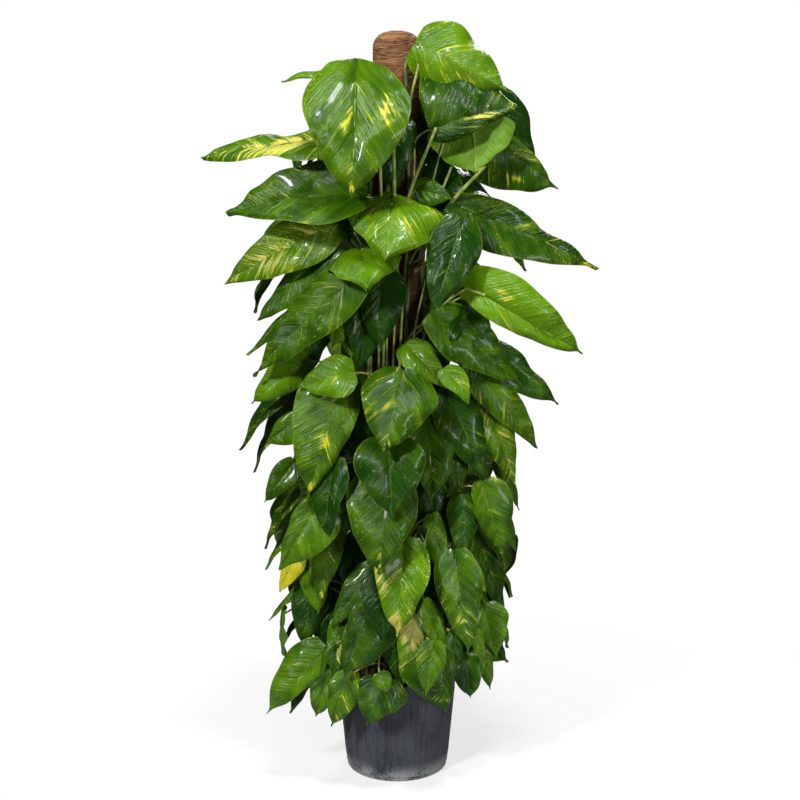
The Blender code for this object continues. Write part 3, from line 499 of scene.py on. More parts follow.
# %% One leaf as a surface
def width_share(s):
    """Half width of a blade along its midrib, as a share of its widest: round lobes, full sides, a drawn tip."""
    return (1.0 - s ** 2.2) * (1.0 - 0.3 * s ** 8) * (1.0 - 0.5 * math.exp(-s / 0.10)) / 0.92


class Leaf:
    """One leaf: where its stalk ends, where its tip is, and how its blade bends."""

    def __init__(self, base, tip, normal, width, shape):
        self.base = base
        self.along = (tip - base).normalized()
        self.length = (tip - base).length
        self.normal = (normal - self.along * normal.dot(self.along)).normalized()
        self.across = self.along.cross(self.normal)
        self.width = width
        self.arch, self.fold, self.cup, self.wave, self.phase, self.sway, self.twist, self.lobe, self.skew = shape

    def point(self, s, u):
        """Middle surface of the blade: s from stalk to tip, u across from -1 to 1."""
        half = 0.5 * self.width * width_share(s)
        x = u * half * (1.0 + self.skew * math.copysign(1.0, u))
        t = s - self.lobe * (1.0 - s) ** 3 * math.sin(0.62 * math.pi * abs(u)) ** 0.8
        bow = 4.0 * t * (1.0 - t)
        lift = self.fold * abs(x) - self.cup * x * x / self.width
        lift += self.wave * self.width * u * u * math.sin(9.0 * s + self.phase + 1.3 * u)
        turn = self.twist * (s - 0.3)
        side = x * math.cos(turn) - lift * math.sin(turn) + self.sway * self.length * bow
        rise = x * math.sin(turn) + lift * math.cos(turn) + self.arch * self.length * bow
        return self.base + self.along * (t * self.length) + self.across * side + self.normal * rise


def leaf_shape(rng, read=()):
    """How a blade bends: arch, fold, cup, wave and phase are drawn; sway, twist, lobes and skew may be read."""
    arch = rng.uniform(0.05, 0.12)
    fold = rng.uniform(0.05, 0.30)
    cup = rng.uniform(0.20, 0.55)
    wave = rng.uniform(0.010, 0.030)
    phase = rng.uniform(0.0, 2.0 * math.pi)
    sway = rng.uniform(-0.040, 0.040)
    twist = rng.uniform(-0.35, 0.35)
    lobe = LOBE_SHARE
    skew = rng.uniform(-0.15, 0.15)
    if read:
        lobe, skew, sway = (0.01 * percent for percent in read[:3])
        twist = math.radians(read[3])
    return arch, fold, cup, wave, phase, sway, twist, lobe, skew


def along_sight(x, z, y):
    """The point at depth y that the eye sees at (x, z) of the front elevation, both in centimetres."""
    seen = Vector((x * CM, ELEVATION_Y, z * CM))
    return EYE + (seen - EYE) * ((y - EYE.y) / (ELEVATION_Y - EYE.y))


def front_leaf(row, shape, shift, roll_change):
    """A leaf from the front list, slid along the line of sight and rolled by a trial's amounts."""
    base_x, base_z, tip_x, tip_z, width, base_out, tip_out, roll = row[:8]
    base = along_sight(base_x, base_z, -base_out * CM - shift)
    tip = along_sight(tip_x, tip_z, -tip_out * CM - shift)
    along = (tip - base).normalized()
    facing = (EYE - base).normalized()
    facing = (facing - along * facing.dot(along)).normalized()
    side = along.cross(facing)
    outward = azimuth_vector(azimuth_of(base))
    if side.dot(Vector((0.0, 0.0, 1.0)) + outward) < 0.0:
        side = -side
    angle = math.radians(roll + roll_change)
    normal = facing * math.cos(angle) + side * math.sin(angle)
    leaf = Leaf(base, tip, normal, width * CM, shape)
    leaf.arch *= abs(math.cos(angle))
    return leaf


def reach_at(z):
    """How far a leaf may reach from the axis at a height."""
    for (low, near), (high, far) in zip(REACH, REACH[1:]):
        if z <= high:
            return near + (far - near) * max(0.0, z - low) / (high - low)
    return REACH[-1][1]


def rule_leaf(draw, shape, shift, roll_change):
    """A side or back leaf from its draw, moved outwards and rolled by a trial's amounts."""
    azimuth, z, start, droop, length, share, swing, roll = draw
    out = azimuth_vector(azimuth)
    base = out * (start + shift) + Vector((0.0, 0.0, z))
    heading = azimuth_vector(azimuth + swing)
    along = heading * math.cos(droop) - Vector((0.0, 0.0, math.sin(droop)))
    tip = base + along * length
    level = math.hypot(tip.x, tip.y)
    room = reach_at(tip.z) * (1.0 + BACK_REACH * max(0.0, tip.y) / level)
    if level > room:
        tip.x *= room / level
        tip.y *= room / level
    along = (tip - base).normalized()
    facing = Vector((0.0, 0.0, 1.0)) * 0.6 + heading
    facing = (facing - along * facing.dot(along)).normalized()
    normal = Matrix.Rotation(math.radians(roll + roll_change), 3, along) @ facing
    return Leaf(base, tip, normal, length * share, shape)


def rule_draws():
    """The draws of every side and back leaf: a golden-angle spiral up the pole, skipping the front."""
    rng = random.Random(RULE_SEED)
    draws = []
    span = 360.0 - 2.0 * RULE_FRONT_GAP
    for index in range(RULE_COUNT):
        turn = (index * GOLDEN_ANGLE + rng.uniform(-8.0, 8.0)) % 360.0
        azimuth = RULE_FRONT_GAP + turn * span / 360.0
        share_up = (index + 0.5) / RULE_COUNT
        z = RULE_LOW + (RULE_HIGH - RULE_LOW) * share_up + rng.uniform(-0.02, 0.02)
        long = 0.150 + 0.095 * math.sin(math.pi * min(1.0, share_up * 1.15)) + rng.uniform(-0.025, 0.030)
        start = rng.uniform(0.090, 0.180) if z > 0.33 else rng.uniform(0.128, 0.152)
        droop = math.radians(rng.uniform(18.0, 74.0))
        share = rng.uniform(0.52, 0.68)
        swing = rng.uniform(-38.0, 38.0)
        roll = rng.uniform(-38.0, 38.0)
        draws.append((azimuth, z, start, droop, long, share, swing, roll))
    return draws


def trials():
    """Shift and roll pairs, the smallest changes first."""
    pairs = [(shift, roll) for shift in SHIFTS for roll in ROLL_CHANGES]
    return sorted(pairs, key=lambda pair: abs(pair[0]) + ROLL_COST * abs(pair[1]))


def bezier(a, b, c, d, t):
    k = 1.0 - t
    return a * k ** 3 + b * (3.0 * k * k * t) + c * (3.0 * k * t * t) + d * t ** 3


def stalk_path(leaf, vine, node_shift):
    """The stalk's path: out of the stem, rising and out, then in under the blade at its notch."""
    level = math.hypot(leaf.base.x, leaf.base.y) - POLE_RADIUS
    z = leaf.base.z - 0.015 - 0.50 * max(0.0, level) + node_shift
    z = min(max(z, SOIL_TOP + 0.030), VINE_TOPS[vine] - 0.008)
    root = stem_point(vine, z)
    out = Vector((root.x, root.y, 0.0)).normalized()
    end = leaf.point(0.05, 0.0)
    span = (end - root).length
    to_leaf = Vector((end.x - root.x, end.y - root.y, 0.0))
    if to_leaf.length > 1e-6:
        to_leaf.normalize()
    first = root + (out * 0.65 + Vector((0.0, 0.0, 0.75))) * (0.38 * span)
    arrive = (to_leaf * 0.8 + leaf.along * 0.5 + Vector((0.0, 0.0, 0.15))).normalized()
    under = end - leaf.normal * 0.0035 - arrive * 0.012
    before = under - arrive * (0.33 * span)
    path = [bezier(root, first, before, under, t) for t in (0.0, 0.5, 1.0)]
    return path + [end]


def all_leaf_makers():
    """One maker for each leaf: the front list first, then the rule's."""
    makers = []
    for index, row in enumerate(FRONT_LEAVES):
        shape = leaf_shape(random.Random(1000 + index), row[8:])
        makers.append(lambda shift, roll, row=row, shape=shape: front_leaf(row, shape, shift, roll))
    for index, draw in enumerate(rule_draws()):
        if index in RULE_LEFT_OUT:
            continue
        shape = leaf_shape(random.Random(5000 + index))
        makers.append(lambda shift, roll, draw=draw, shape=shape: rule_leaf(draw, shape, shift, roll))
    return makers


print("trials for a leaf", len(trials()))

# %% [markdown]
# ## Reading the solids
# While the solids were made, a leaf that would have crossed another slid or rolled a little. Instead of
# testing all that again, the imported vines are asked: of a leaf's trials, the one whose corners are
# corners of a packed vine is the one that was used. That also tells which vine carries the leaf.

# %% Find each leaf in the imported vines
MATCH = 0.0003
STALK_MATCH = 0.0002


def packed_corners():
    """A search tree of all packed vine corners, and the vine of each corner."""
    corners = []
    owners = []
    for vine in range(VINE_COUNT):
        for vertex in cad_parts["vine_%d" % (vine + 1)].data.vertices:
            corners.append(vertex.co.copy())
            owners.append(vine)
    tree = KDTree(len(corners))
    for index, corner in enumerate(corners):
        tree.insert(corner, index)
    tree.balance()
    return tree, owners


def telling_corners(leaf):
    """Corners of the coarse blade that every trial moves: its tip and both ends of its widest row."""
    half = leaf.normal * (0.5 * BLADE_THICKNESS)
    row = (SMALL_BLADE_ROWS if leaf.length < SMALL_BLADE else BLADE_ROWS)[1]
    return [leaf.point(1.0, 0.0) + half, leaf.point(row, -1.0) + half, leaf.point(row, 1.0) + half]


def find_leaf(maker, tree, owners):
    """The trial whose corners are in the solids, with its vine, or nothing."""
    for shift, roll in trials():
        leaf = maker(shift, roll)
        found = [tree.find(corner) for corner in telling_corners(leaf)]
        if all(distance < MATCH for _place, _index, distance in found):
            return leaf, owners[found[0][1]]
    return None


def find_node_shift(leaf, vine, tree):
    """The height change of the stalk's root whose middle ring is in the solids."""
    for node_shift in NODE_SHIFTS:
        middle = stalk_path(leaf, vine, node_shift)[1]
        near = tree.find_n(middle, 3)
        if all(abs(distance - STALK_RADIUS) < STALK_MATCH for _place, _index, distance in near):
            return node_shift
    return 0.0


corner_tree, corner_owners = packed_corners()
LEAVES = []
for number, maker in enumerate(all_leaf_makers()):
    match = find_leaf(maker, corner_tree, corner_owners)
    if match:
        leaf, vine = match
        LEAVES.append((number, leaf, vine, find_node_shift(leaf, vine, corner_tree)))
# Share of the width, lobe length and skew to add, centimetres forward and up, fold to add and how
# open the notch is, where a large leaf is fuller than its solid
OPEN_NOTCH = 0.26
FULLER = {
    0: (1.00, 0.060, 0.06, 0.3, 0.5, 0.0, 0.05),
    1: (1.10, 0.160, 0.00, 0.8, 1.0, 0.0, 0.12),
    2: (1.02, 0.000, 0.00, 0.0, 0.0, -0.6, OPEN_NOTCH),
    24: (1.25, 0.040, 0.00, 0.0, 0.0, 0.0, OPEN_NOTCH),
    3: (1.10, 0.000, 0.00, 0.0, 0.0, 0.0, OPEN_NOTCH),
}
for number, leaf, _vine, _shift in LEAVES:
    some_fold = random.Random(400 + number).uniform(-0.22, 0.34)
    share, lobe, skew, forward, up, fold, notch = FULLER.get(number, (1.0, 0.0, 0.0, 0.0, 0.0, some_fold, OPEN_NOTCH))
    leaf.width *= share
    leaf.lobe += lobe
    leaf.skew += skew
    leaf.base += Vector((0.0, -forward * CM, up * CM))
    leaf.fold += fold
    leaf.notch = notch

# Small leaves deep in the plant, in the same terms as the front leaves, where light would shine through
HIDDEN_LEAVES = (
    (6.0, 68.0, 7.2, 56.0, 8.0, 6.0, 7.0, 5),
    (-12.6, 39.5, -14.0, 29.0, 8.0, 5.0, 4.0, -10),
    (16.6, 47.5, 18.2, 37.0, 7.5, 3.0, 3.0, 10),
    (-14.6, 96.0, -17.4, 84.5, 8.5, 4.0, 3.0, 0),
    (6.2, 132.5, 7.6, 121.0, 7.0, 3.0, 4.0, 0),
    (18.2, 137.0, 24.8, 119.6, 8.5, 4.0, 5.0, 42),
)
FIRST_HIDDEN = 900


def nearest_vine(point):
    """The vine whose stem is nearest to a point, seen from above."""
    return min(range(VINE_COUNT), key=lambda vine: (stem_point(vine, min(point.z, VINE_TOPS[vine])) - point).length)


for index, row in enumerate(HIDDEN_LEAVES):
    leaf = front_leaf(row, leaf_shape(random.Random(7000 + index)), 0.0, 0.0)
    leaf.notch = OPEN_NOTCH
    LEAVES.append((FIRST_HIDDEN + index, leaf, nearest_vine(leaf.base), 0.0))
print("leaves of the solids and hidden ones", len(LEAVES))

# %% [markdown]
# ## Leaf finish
# Golden pothos is chimeric: some cells make no green, and those cells fan out along the side veins, so
# the gold comes in streaks, wedges and freckles that follow the veins and end sharply. The finish
# measures every blade in metres along and across its midrib, leans those coordinates forward as the
# side veins lean, and stretches noise along them. Each leaf carries its own numbers as attributes: how
# bright its green is, how much gold it has, and where its larger patches are.

# %% The leaf finish
DARK_GREEN = colour(0.009, 0.050, 0.001)
BRIGHT_GREEN = colour(0.120, 0.275, 0.003)
PALE_GREEN = colour(0.260, 0.370, 0.020)
GOLD = colour(0.700, 0.640, 0.025)
CREAM = colour(0.640, 0.640, 0.200)
UNDERSIDE = colour(0.150, 0.270, 0.030)
MIDRIB = colour(0.120, 0.260, 0.012)
VEIN_LEAN = 1.20
VEIN_GAP = 0.0125


def attribute(graph, name):
    """One of the numbers that the blade's corners carry."""
    return graph.add("ShaderNodeAttribute", {"attribute_name": name}).out("Fac")


def leaf_finish():
    """Waxy green with gold streaks along the side veins."""
    made, graph, shader = new_finish("leaf_blade", 0.3, Coat_Roughness=0.09, Specular_IOR_Level=0.30)
    share = graph.add("ShaderNodeUVMap", {"uv_map": "share"})
    s, half, _z = share.parts()
    across = abs(half * 2.0 - 1.0)
    flat = graph.add("ShaderNodeUVMap", {"uv_map": "flat"})
    along, aside, _z = flat.parts()
    reach = abs(aside)
    side = aside.call("SIGN")
    lean = along - reach * VEIN_LEAN
    luck = attribute(graph, "luck")
    gold = attribute(graph, "gold")
    patch = attribute(graph, "patch")
    bright = attribute(graph, "bright")
    cream = attribute(graph, "cream")
    under = attribute(graph, "under")

    def streaks(across_veins, along_veins, seed, detail):
        place = graph.vector(lean * across_veins, reach * along_veins + side * 3.7, luck * 71.0 + seed)
        return graph.speckle(place, 1.0, detail, 0.6, 0.3)

    broad = streaks(30.0, 9.0, 0.0, 2.0)
    thin = streaks(120.0, 15.0, 5.0, 2.0)
    finest = streaks(420.0, 60.0, 9.0, 1.0)
    freckle = graph.speckle(graph.vector(along * 380.0, aside * 380.0, luck * 50.0), 1.0, 1.0)
    field = broad * 0.34 + thin * 0.38 + finest * 0.28
    amount = gold * 0.100 + patch * 0.225
    gilded = field.rise(0.655 - amount, 0.690 - amount)
    halo = field.rise(0.600 - amount, 0.665 - amount)
    freckled = freckle.rise(0.63, 0.67) * broad.rise(0.50, 0.60) * (gold * 1.6).call("MINIMUM", 1.0)
    cloud = graph.speckle(graph.vector(along * 26.0, aside * 26.0, luck * 33.0), 1.0, 2.0)
    tint = graph.mix((bright + (broad - 0.5) * 0.45 + (thin - 0.5) * 0.35 + (cloud - 0.5) * 0.9).rise(0.0, 1.0),
                     DARK_GREEN, BRIGHT_GREEN)
    ribs = abs((lean / VEIN_GAP).call("FRACT") - 0.5) * 2.0
    vein = ribs.rise(0.80, 1.0) * (1.0 - across) * 0.05
    tint = graph.mix(vein.call("MAXIMUM", halo * 0.75), tint, PALE_GREEN)
    metal = graph.mix(cream, GOLD, CREAM)
    tint = graph.mix(gilded.call("MAXIMUM", freckled * 0.8), tint, metal)
    midrib = (1.0 - reach.rise(0.0003, 0.0013)) * (0.55 - s * 0.45)
    tint = graph.mix(midrib, tint, MIDRIB)
    # Pale rim round the blade: partly the leaf's own paler edge, partly painted light shining through the thin edge.
    margin = across.rise(0.960, 0.990) * 0.30
    tint = graph.mix(margin, tint, PALE_GREEN)
    tint = graph.mix(under * (0.70 - bright * 0.30), tint, UNDERSIDE)
    wax = graph.speckle(graph.vector(along * 60.0, aside * 60.0, luck * 20.0), 1.0, 2.0)
    rough = 0.13 + wax * 0.12 + under * 0.35
    feed(graph, shader, Base_Color=tint, Roughness=rough, Coat_Weight=0.12 - under * 0.12)
    grain = graph.speckle(graph.vector(along * 900.0, aside * 900.0, luck), 1.0, 2.0)
    feed_bump(graph, shader, finest * 0.8 + grain * 0.2 + thin * 2.0 + broad * 3.0 + cloud * 4.0, 0.9, 0.0022)
    return made


LEAF_FINISH = leaf_finish()
print("leaf finish nodes", len(LEAF_FINISH.node_tree.nodes))

# %% [markdown]
# ## What is special about each front leaf
# The photograph shows one leaf with two bold gold patches, some that are almost plain, some freckled
# all over. Patches are noted in the same centimetres as the leaves, as soft ovals; the finish breaks
# their edges up along the veins.

# %% Notes on single leaves
# Leaf: brightness, gold, creaminess, then patches of x, z, half width, half height, strength and tilt. Brightness is
# partly the leaf's own green and partly painted shade: leaves that lie in shadow, such as 15 and 20, are given a
# darker green.
NOTES = {
    0: (0.50, 0.28, 0.0, (-1.5, 134.4, 1.1, 2.6, 1.0, 25), (-8.9, 132.0, 0.6, 2.8, 1.0, -20), (-8.4, 122.0, 0.9, 3.5, 0.5, 0)),
    1: (0.70, 0.50, 0.0, (-1.6, 112.6, 2.2, 2.2, 0.25, 0)),
    2: (0.70, 0.42, 0.0, (12.6, 139.5, 2.0, 0.6, 0.5, -30)),
    3: (0.20, 0.35, 0.5, (15.6, 133.0, 3.6, 0.4, 0.75, 10), (20.4, 135.6, 1.0, 1.0, 0.5, 0)),
    4: (0.35, 0.62, 0.1),
    5: (0.40, 0.20, 0.1, (-3.0, 48.5, 0.8, 2.0, 0.6, 0)),
    6: (0.35, 0.20, 0.4),
    7: (1.00, 0.30, 0.3, (20.0, 100.0, 2.6, 0.9, 0.8, -30), (22.0, 94.0, 6.0, 5.0, 0.12, 0)),
    8: (0.70, 0.66, 0.5, (-3.2, 45.0, 1.3, 4.0, 0.5, 0), (-0.2, 35.5, 1.4, 2.4, 0.75, 0)),
    9: (0.45, 0.30, 0.1),
    10: (0.25, 0.20, 0.5, (9.0, 19.6, 2.0, 0.9, 0.6, 0)),
    11: (0.30, 0.25, 0.4),
    12: (0.25, 0.05, 0.2),
    13: (0.55, 0.10, 0.0, (-16.4, 51.0, 0.5, 2.6, 0.5, 0)),
    14: (0.50, 0.25, 0.0, (-13.9, 72.0, 0.8, 1.4, 0.75, 0), (-16.4, 63.0, 0.6, 1.8, 0.7, 0)),
    15: (0.15, 0.03, 0.0),
    16: (0.35, 0.28, 0.6, (12.8, 36.4, 1.2, 1.2, 0.55, 0)),
    17: (0.35, 0.28, 0.3, (-21.0, 113.4, 6.0, 0.7, 0.5, -6)),
    18: (0.55, 0.72, 0.5, (-20.4, 127.6, 6.0, 1.2, 0.60, 10)),
    19: (0.25, 0.30, 0.1, (35.0, 105.8, 1.4, 0.8, 0.7, 0)),
    20: (0.30, 0.30, 0.0, (22.0, 121.6, 3.0, 0.8, 0.6, -10)),
    21: (0.60, 0.80, 0.6, (-23.0, 106.6, 4.6, 2.2, 0.40, 20)),
    22: (0.35, 0.20, 0.4),
    24: (1.00, 0.20, 0.0, (8.0, 127.4, 2.6, 1.4, 0.75, 0), (14.0, 123.0, 4.0, 4.0, 0.18, 0)),
    26: (0.20, 0.12, 0.0),
    28: (0.25, 0.10, 0.5),
    29: (0.50, 0.20, 0.2),
    30: (0.50, 0.45, 0.1),
    34: (0.20, 0.03, 0.0),
    36: (0.20, 0.05, 0.0),
    37: (0.55, 0.72, 0.2, (20.5, 67.0, 1.6, 3.0, 0.3, 0)),
    38: (0.45, 0.45, 0.1),
    41: (0.55, 0.18, 0.1, (-14.4, 42.0, 0.7, 1.6, 0.6, 0)),
    43: (0.40, 0.15, 0.9, (-11.3, 30.0, 0.6, 4.0, 0.9, 0)),
    45: (0.45, 0.25, 0.2, (-11.4, 16.0, 0.8, 1.0, 0.5, 0)),
    48: (0.85, 0.60, 0.8, (2.6, 33.5, 2.0, 3.6, 0.90, 0)),
    49: (0.70, 0.10, 0.4),
    51: (0.20, 0.03, 0.0),
    52: (0.90, 0.65, 0.3),
    53: (0.20, 0.03, 0.0),
    57: (0.20, 0.05, 0.0),
    58: (0.45, 0.38, 0.2),
    60: (0.65, 0.20, 0.0),
    61: (1.00, 1.00, 0.0, (-21.1, 44.7, 2.4, 3.0, 1.0, 0)),
    62: (0.20, 0.03, 0.0),
    67: (0.60, 0.22, 0.0, (-27.0, 91.0, 1.2, 1.4, 0.7, 0)),
    76: (0.85, 0.40, 0.6),
}
INNER_LEAVES = range(77, 96)


def leaf_notes(number):
    """Brightness, gold, creaminess, luck and patches of a leaf."""
    rng = random.Random(9000 + number)
    drawn = (rng.uniform(0.15, 0.75), rng.uniform(0.0, 0.65) ** 1.7, rng.uniform(0.0, 0.6))
    luck = rng.random()
    # Leaves deep inside the plant get the darkest green and no gold: painted shade of the plant's interior.
    if number in INNER_LEAVES or number >= FIRST_HIDDEN:
        return (0.05, 0.0, 0.0), luck, ()
    note = NOTES.get(number, drawn)
    return note[:3], luck, note[3:]


print("leaves with notes", len(NOTES))

# %% [markdown]
# ## Fine blades
# The solids have three columns of corners a leaf; light needs more. Each fine blade is a closed shell,
# a top and an underside joined round the rim, sampled closely at the notch, the tip and the midrib.
# The blade swells a little between its side veins, which is what breaks up a highlight on a real leaf.

# %% Build the blades
ROW_COUNT = 30
COLUMN_SHARES = (0.0, 0.035, 0.10, 0.22, 0.38, 0.56, 0.74, 0.89, 1.0)
MIDRIB_HALF = 0.00040
RIM_HALF = 0.00022
WARP = 0.0075
WARP_ALONG = 24.0
WARP_ACROSS = 30.0
PUCKER = 0.0007
PUCKER_GAPS = 2.8
NOTCH_CLOSING = 1.9
TIP_DRAW = 0.34
TIP_DROOP = 0.035
TIP_SWING = 0.030
RIPPLE = 0.050
EDGE_ROLL = 0.30
RIPPLE_TURNS = 13.0
GROOVE = 0.0016


def row_shares():
    """Shares along the midrib, closer together near the notch and the tip."""
    steps = [row / (ROW_COUNT - 1) for row in range(ROW_COUNT)]
    return [step - 0.085 * math.sin(2.0 * math.pi * step) for step in steps]


ROWS = row_shares()
COLUMNS = [-share for share in COLUMN_SHARES[:0:-1]] + list(COLUMN_SHARES)


def lobes_at(leaf, u):
    """How far the lobes reach back at u: a slit at the midrib, round shoulders outside."""
    return math.sin(0.62 * math.pi * abs(u)) ** leaf.notch * (1.0 - (0.30 - leaf.notch) * u * u)


def fine_point(leaf, s, u):
    """The leaf's own surface with what three columns of corners can't show: a closer notch between the
    lobes, a drawn tip that droops, and a rippled edge."""
    full = 1.0 + 0.09 * math.exp(-((s - 0.26) / 0.18) ** 2) - TIP_DRAW * math.exp(-((s - 0.94) / 0.07) ** 2)
    half = 0.5 * leaf.width * width_share(s) * full
    close = 1.0 + NOTCH_CLOSING * math.exp(-(s / 0.10) ** 2)
    x = math.copysign(abs(u) ** close, u) * half * (1.0 + leaf.skew * math.copysign(1.0, u))
    t = s - leaf.lobe * (1.0 - s) ** 3 * lobes_at(leaf, u)
    bow = 4.0 * t * (1.0 - t)
    lift = leaf.fold * abs(x) - leaf.cup * x * x / leaf.width
    lift += leaf.wave * leaf.width * u * u * math.sin(9.0 * s + leaf.phase + 1.3 * u)
    ripple = math.sin(RIPPLE_TURNS * s + 2.0 * leaf.phase + 2.4 * math.copysign(1.0, u))
    lift += RIPPLE * leaf.width * abs(u) ** 3 * ripple * math.sin(math.pi * min(1.0, s + 0.15)) ** 0.7
    lift -= EDGE_ROLL * leaf.width * max(0.0, abs(u) - 0.55) ** 2
    turn = leaf.twist * (s - 0.3)
    side = x * math.cos(turn) - lift * math.sin(turn) + leaf.sway * leaf.length * bow
    rise = x * math.sin(turn) + lift * math.cos(turn) + leaf.arch * leaf.length * bow
    late = max(0.0, s - 0.72) / 0.28
    rise -= TIP_DROOP * leaf.length * late ** 2 * (1.0 - s) * 4.0
    side += TIP_SWING * leaf.length * math.sin(leaf.phase) * late * (1.0 - s) * 4.0
    return leaf.base + leaf.along * (t * leaf.length) + leaf.across * side + leaf.normal * rise


def blade_surface(leaf):
    """Grids of the middle surface, of its shares and of its flat coordinates in metres."""
    middle = np.array([[fine_point(leaf, s, u) for u in COLUMNS] for s in ROWS])
    s, u = np.meshgrid(ROWS, COLUMNS, indexing="ij")
    half = np.array([0.5 * leaf.width * width_share(min(row, 0.999)) for row in ROWS])[:, None]
    return middle, s, u, s * leaf.length, u * half


def surface_normals(grid):
    """Unit normals of a grid of points, on the side the blade's normal points to."""
    along = np.gradient(grid, axis=0)
    across = np.gradient(grid, axis=1)
    along[-1] = along[-2]
    across[-1] = across[-2]
    normals = np.cross(across, along)
    return normals / np.maximum(np.linalg.norm(normals, axis=2, keepdims=True), 1e-12)


def blade_faces(rows, columns):
    """Faces of the closed shell: top, underside and rim; the last row is the single tip."""
    count = (rows - 1) * columns + 1
    tip = count - 1
    top = []
    for row in range(rows - 2):
        for column in range(columns - 1):
            a = row * columns + column
            top.append((a, a + 1, a + columns + 1, a + columns))
    last = (rows - 2) * columns
    top += [(last + column, last + column + 1, tip) for column in range(columns - 1)]
    faces = top + [tuple(corner + count for corner in reversed(face)) for face in top]
    rim = list(range(columns)) + [row * columns + columns - 1 for row in range(1, rows - 1)] + [tip]
    rim += [row * columns for row in range(rows - 2, 0, -1)]
    for here, after in zip(rim, rim[1:] + rim[:1]):
        faces.append((after, here, here + count, after + count))
    return faces


BLADE_FACES = blade_faces(ROW_COUNT, len(COLUMNS))


def without_spare_tips(grid):
    """The grid's points in order, with the last row as one point."""
    flat = grid.reshape(grid.shape[0] * grid.shape[1], -1)
    return np.vstack([flat[:(ROW_COUNT - 1) * len(COLUMNS)], flat[-(len(COLUMNS) // 2) - 1][None]])


def seen_at(points):
    """Where the eye sees points on the front elevation, in centimetres."""
    share = (ELEVATION_Y - EYE.y) / (points[:, 1] - EYE.y)
    x = EYE.x + (points[:, 0] - EYE.x) * share
    z = EYE.z + (points[:, 2] - EYE.z) * share
    return x / CM, z / CM


def patch_strength(points, patches):
    """How far each corner is inside the leaf's patches, 0 to 1."""
    x, z = seen_at(points)
    strength = np.zeros(len(points))
    for centre_x, centre_z, half_x, half_z, most, tilt in patches:
        turn = math.radians(tilt)
        over = (x - centre_x) * math.cos(turn) + (z - centre_z) * math.sin(turn)
        up = (z - centre_z) * math.cos(turn) - (x - centre_x) * math.sin(turn)
        away = (over / half_x) ** 2 + (up / half_z) ** 2
        strength = np.maximum(strength, most * np.exp(-0.7 * away ** 1.5))
    return strength


MIDRIB_LINES = {}


def fine_blade(number, leaf):
    """Corners of a fine blade with the numbers that its finish reads."""
    middle, s, u, along, aside = blade_surface(leaf)
    normals = surface_normals(middle)
    lean = along - np.abs(aside) * VEIN_LEAN
    swell = np.sin(2.0 * math.pi * lean / (PUCKER_GAPS * VEIN_GAP) + number) * np.abs(u) * (1.0 - np.abs(u)) * 4.0
    scale = min(1.0, leaf.width / 0.10) * np.sin(math.pi * np.clip(s, 0.0, 1.0)) ** 0.5
    lift = PUCKER * scale * swell - GROOVE * scale * np.exp(-(aside / 0.0035) ** 2)
    spots = np.stack([along * WARP_ALONG, aside * WARP_ACROSS, np.full_like(along, 7.3 * number)], axis=2)
    warp = [[noise.noise(Vector(spot)) for spot in row] for row in spots]
    lift += WARP * min(1.0, leaf.width / 0.09) * np.array(warp)
    middle = middle + normals * lift[..., None]
    centre = len(COLUMNS) // 2
    MIDRIB_LINES[number] = (middle[:, centre], normals[:, centre])
    half = (MIDRIB_HALF + (RIM_HALF - MIDRIB_HALF) * u ** 2)[..., None]
    faces_up = [without_spare_tips(middle + normals * half), without_spare_tips(middle - normals * half)]
    points = np.vstack(faces_up)
    numbers, luck, patches = leaf_notes(number)
    count = len(faces_up[0])
    facts = {
        "bright": np.full(2 * count, numbers[0]),
        "gold": np.full(2 * count, numbers[1]),
        "cream": np.full(2 * count, numbers[2]),
        "luck": np.full(2 * count, luck),
        "patch": np.tile(patch_strength(faces_up[0], patches), 2),
        "under": np.repeat((0.0, 1.0), count),
    }
    share = np.tile(without_spare_tips(np.stack([s, 0.5 + 0.5 * u], axis=2)), (2, 1))
    flat = np.tile(without_spare_tips(np.stack([along, aside], axis=2)), (2, 1))
    return points, facts, share, flat


def plain_piece(name, points, faces, finish, angle=40.0):
    """A mesh object from points and faces, smooth up to an angle, with its finish."""
    mesh = bpy.data.meshes.new(name)
    mesh.from_pydata([tuple(point) for point in points], [], faces)
    mesh.materials.append(finish)
    mesh.shade_smooth()
    mesh.set_sharp_from_angle(angle=math.radians(angle))
    return link(bpy.data.objects.new(name, mesh))


def blades_of(vine):
    """All fine blades of a vine as one piece."""
    points, faces, shares, flats = [], [], [], []
    facts = {}
    start = 0
    for number, leaf, owner, _node_shift in LEAVES:
        if owner != vine:
            continue
        corners, leaf_facts, share, flat = fine_blade(number, leaf)
        faces += [tuple(corner + start for corner in face) for face in BLADE_FACES]
        start += len(corners)
        points.append(corners)
        shares.append(share)
        flats.append(flat)
        for fact, values in leaf_facts.items():
            facts.setdefault(fact, []).append(values)
    made = plain_piece("leaves_%d" % (vine + 1), np.vstack(points), faces, LEAF_FINISH, 55.0)
    mesh = made.data
    for fact, values in facts.items():
        mesh.attributes.new(fact, "FLOAT", "POINT").data.foreach_set("value", np.concatenate(values))
    corner_of_loop = np.zeros(len(mesh.loops), dtype=np.int32)
    mesh.loops.foreach_get("vertex_index", corner_of_loop)
    for title, parts in (("share", shares), ("flat", flats)):
        layer = mesh.uv_layers.new(name=title)
        layer.uv.foreach_set("vector", np.vstack(parts)[corner_of_loop].astype(np.float32).ravel())
    return made


for vine in range(VINE_COUNT):
    blades = blades_of(vine)
    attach(blades, "root")
    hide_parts("vine_%d" % (vine + 1))
    print(blades.name, "faces", len(blades.data.polygons))

# %% [markdown]
# ## Growing things along paths
# Stalks, stems, midribs and aerial roots are all the same idea: a line that becomes a tube whose
# thickness changes on the way. Geometry Nodes do this well: the script gives lines whose corners carry
# a thickness, and a small tree turns them into curves and sweeps a circle along them.

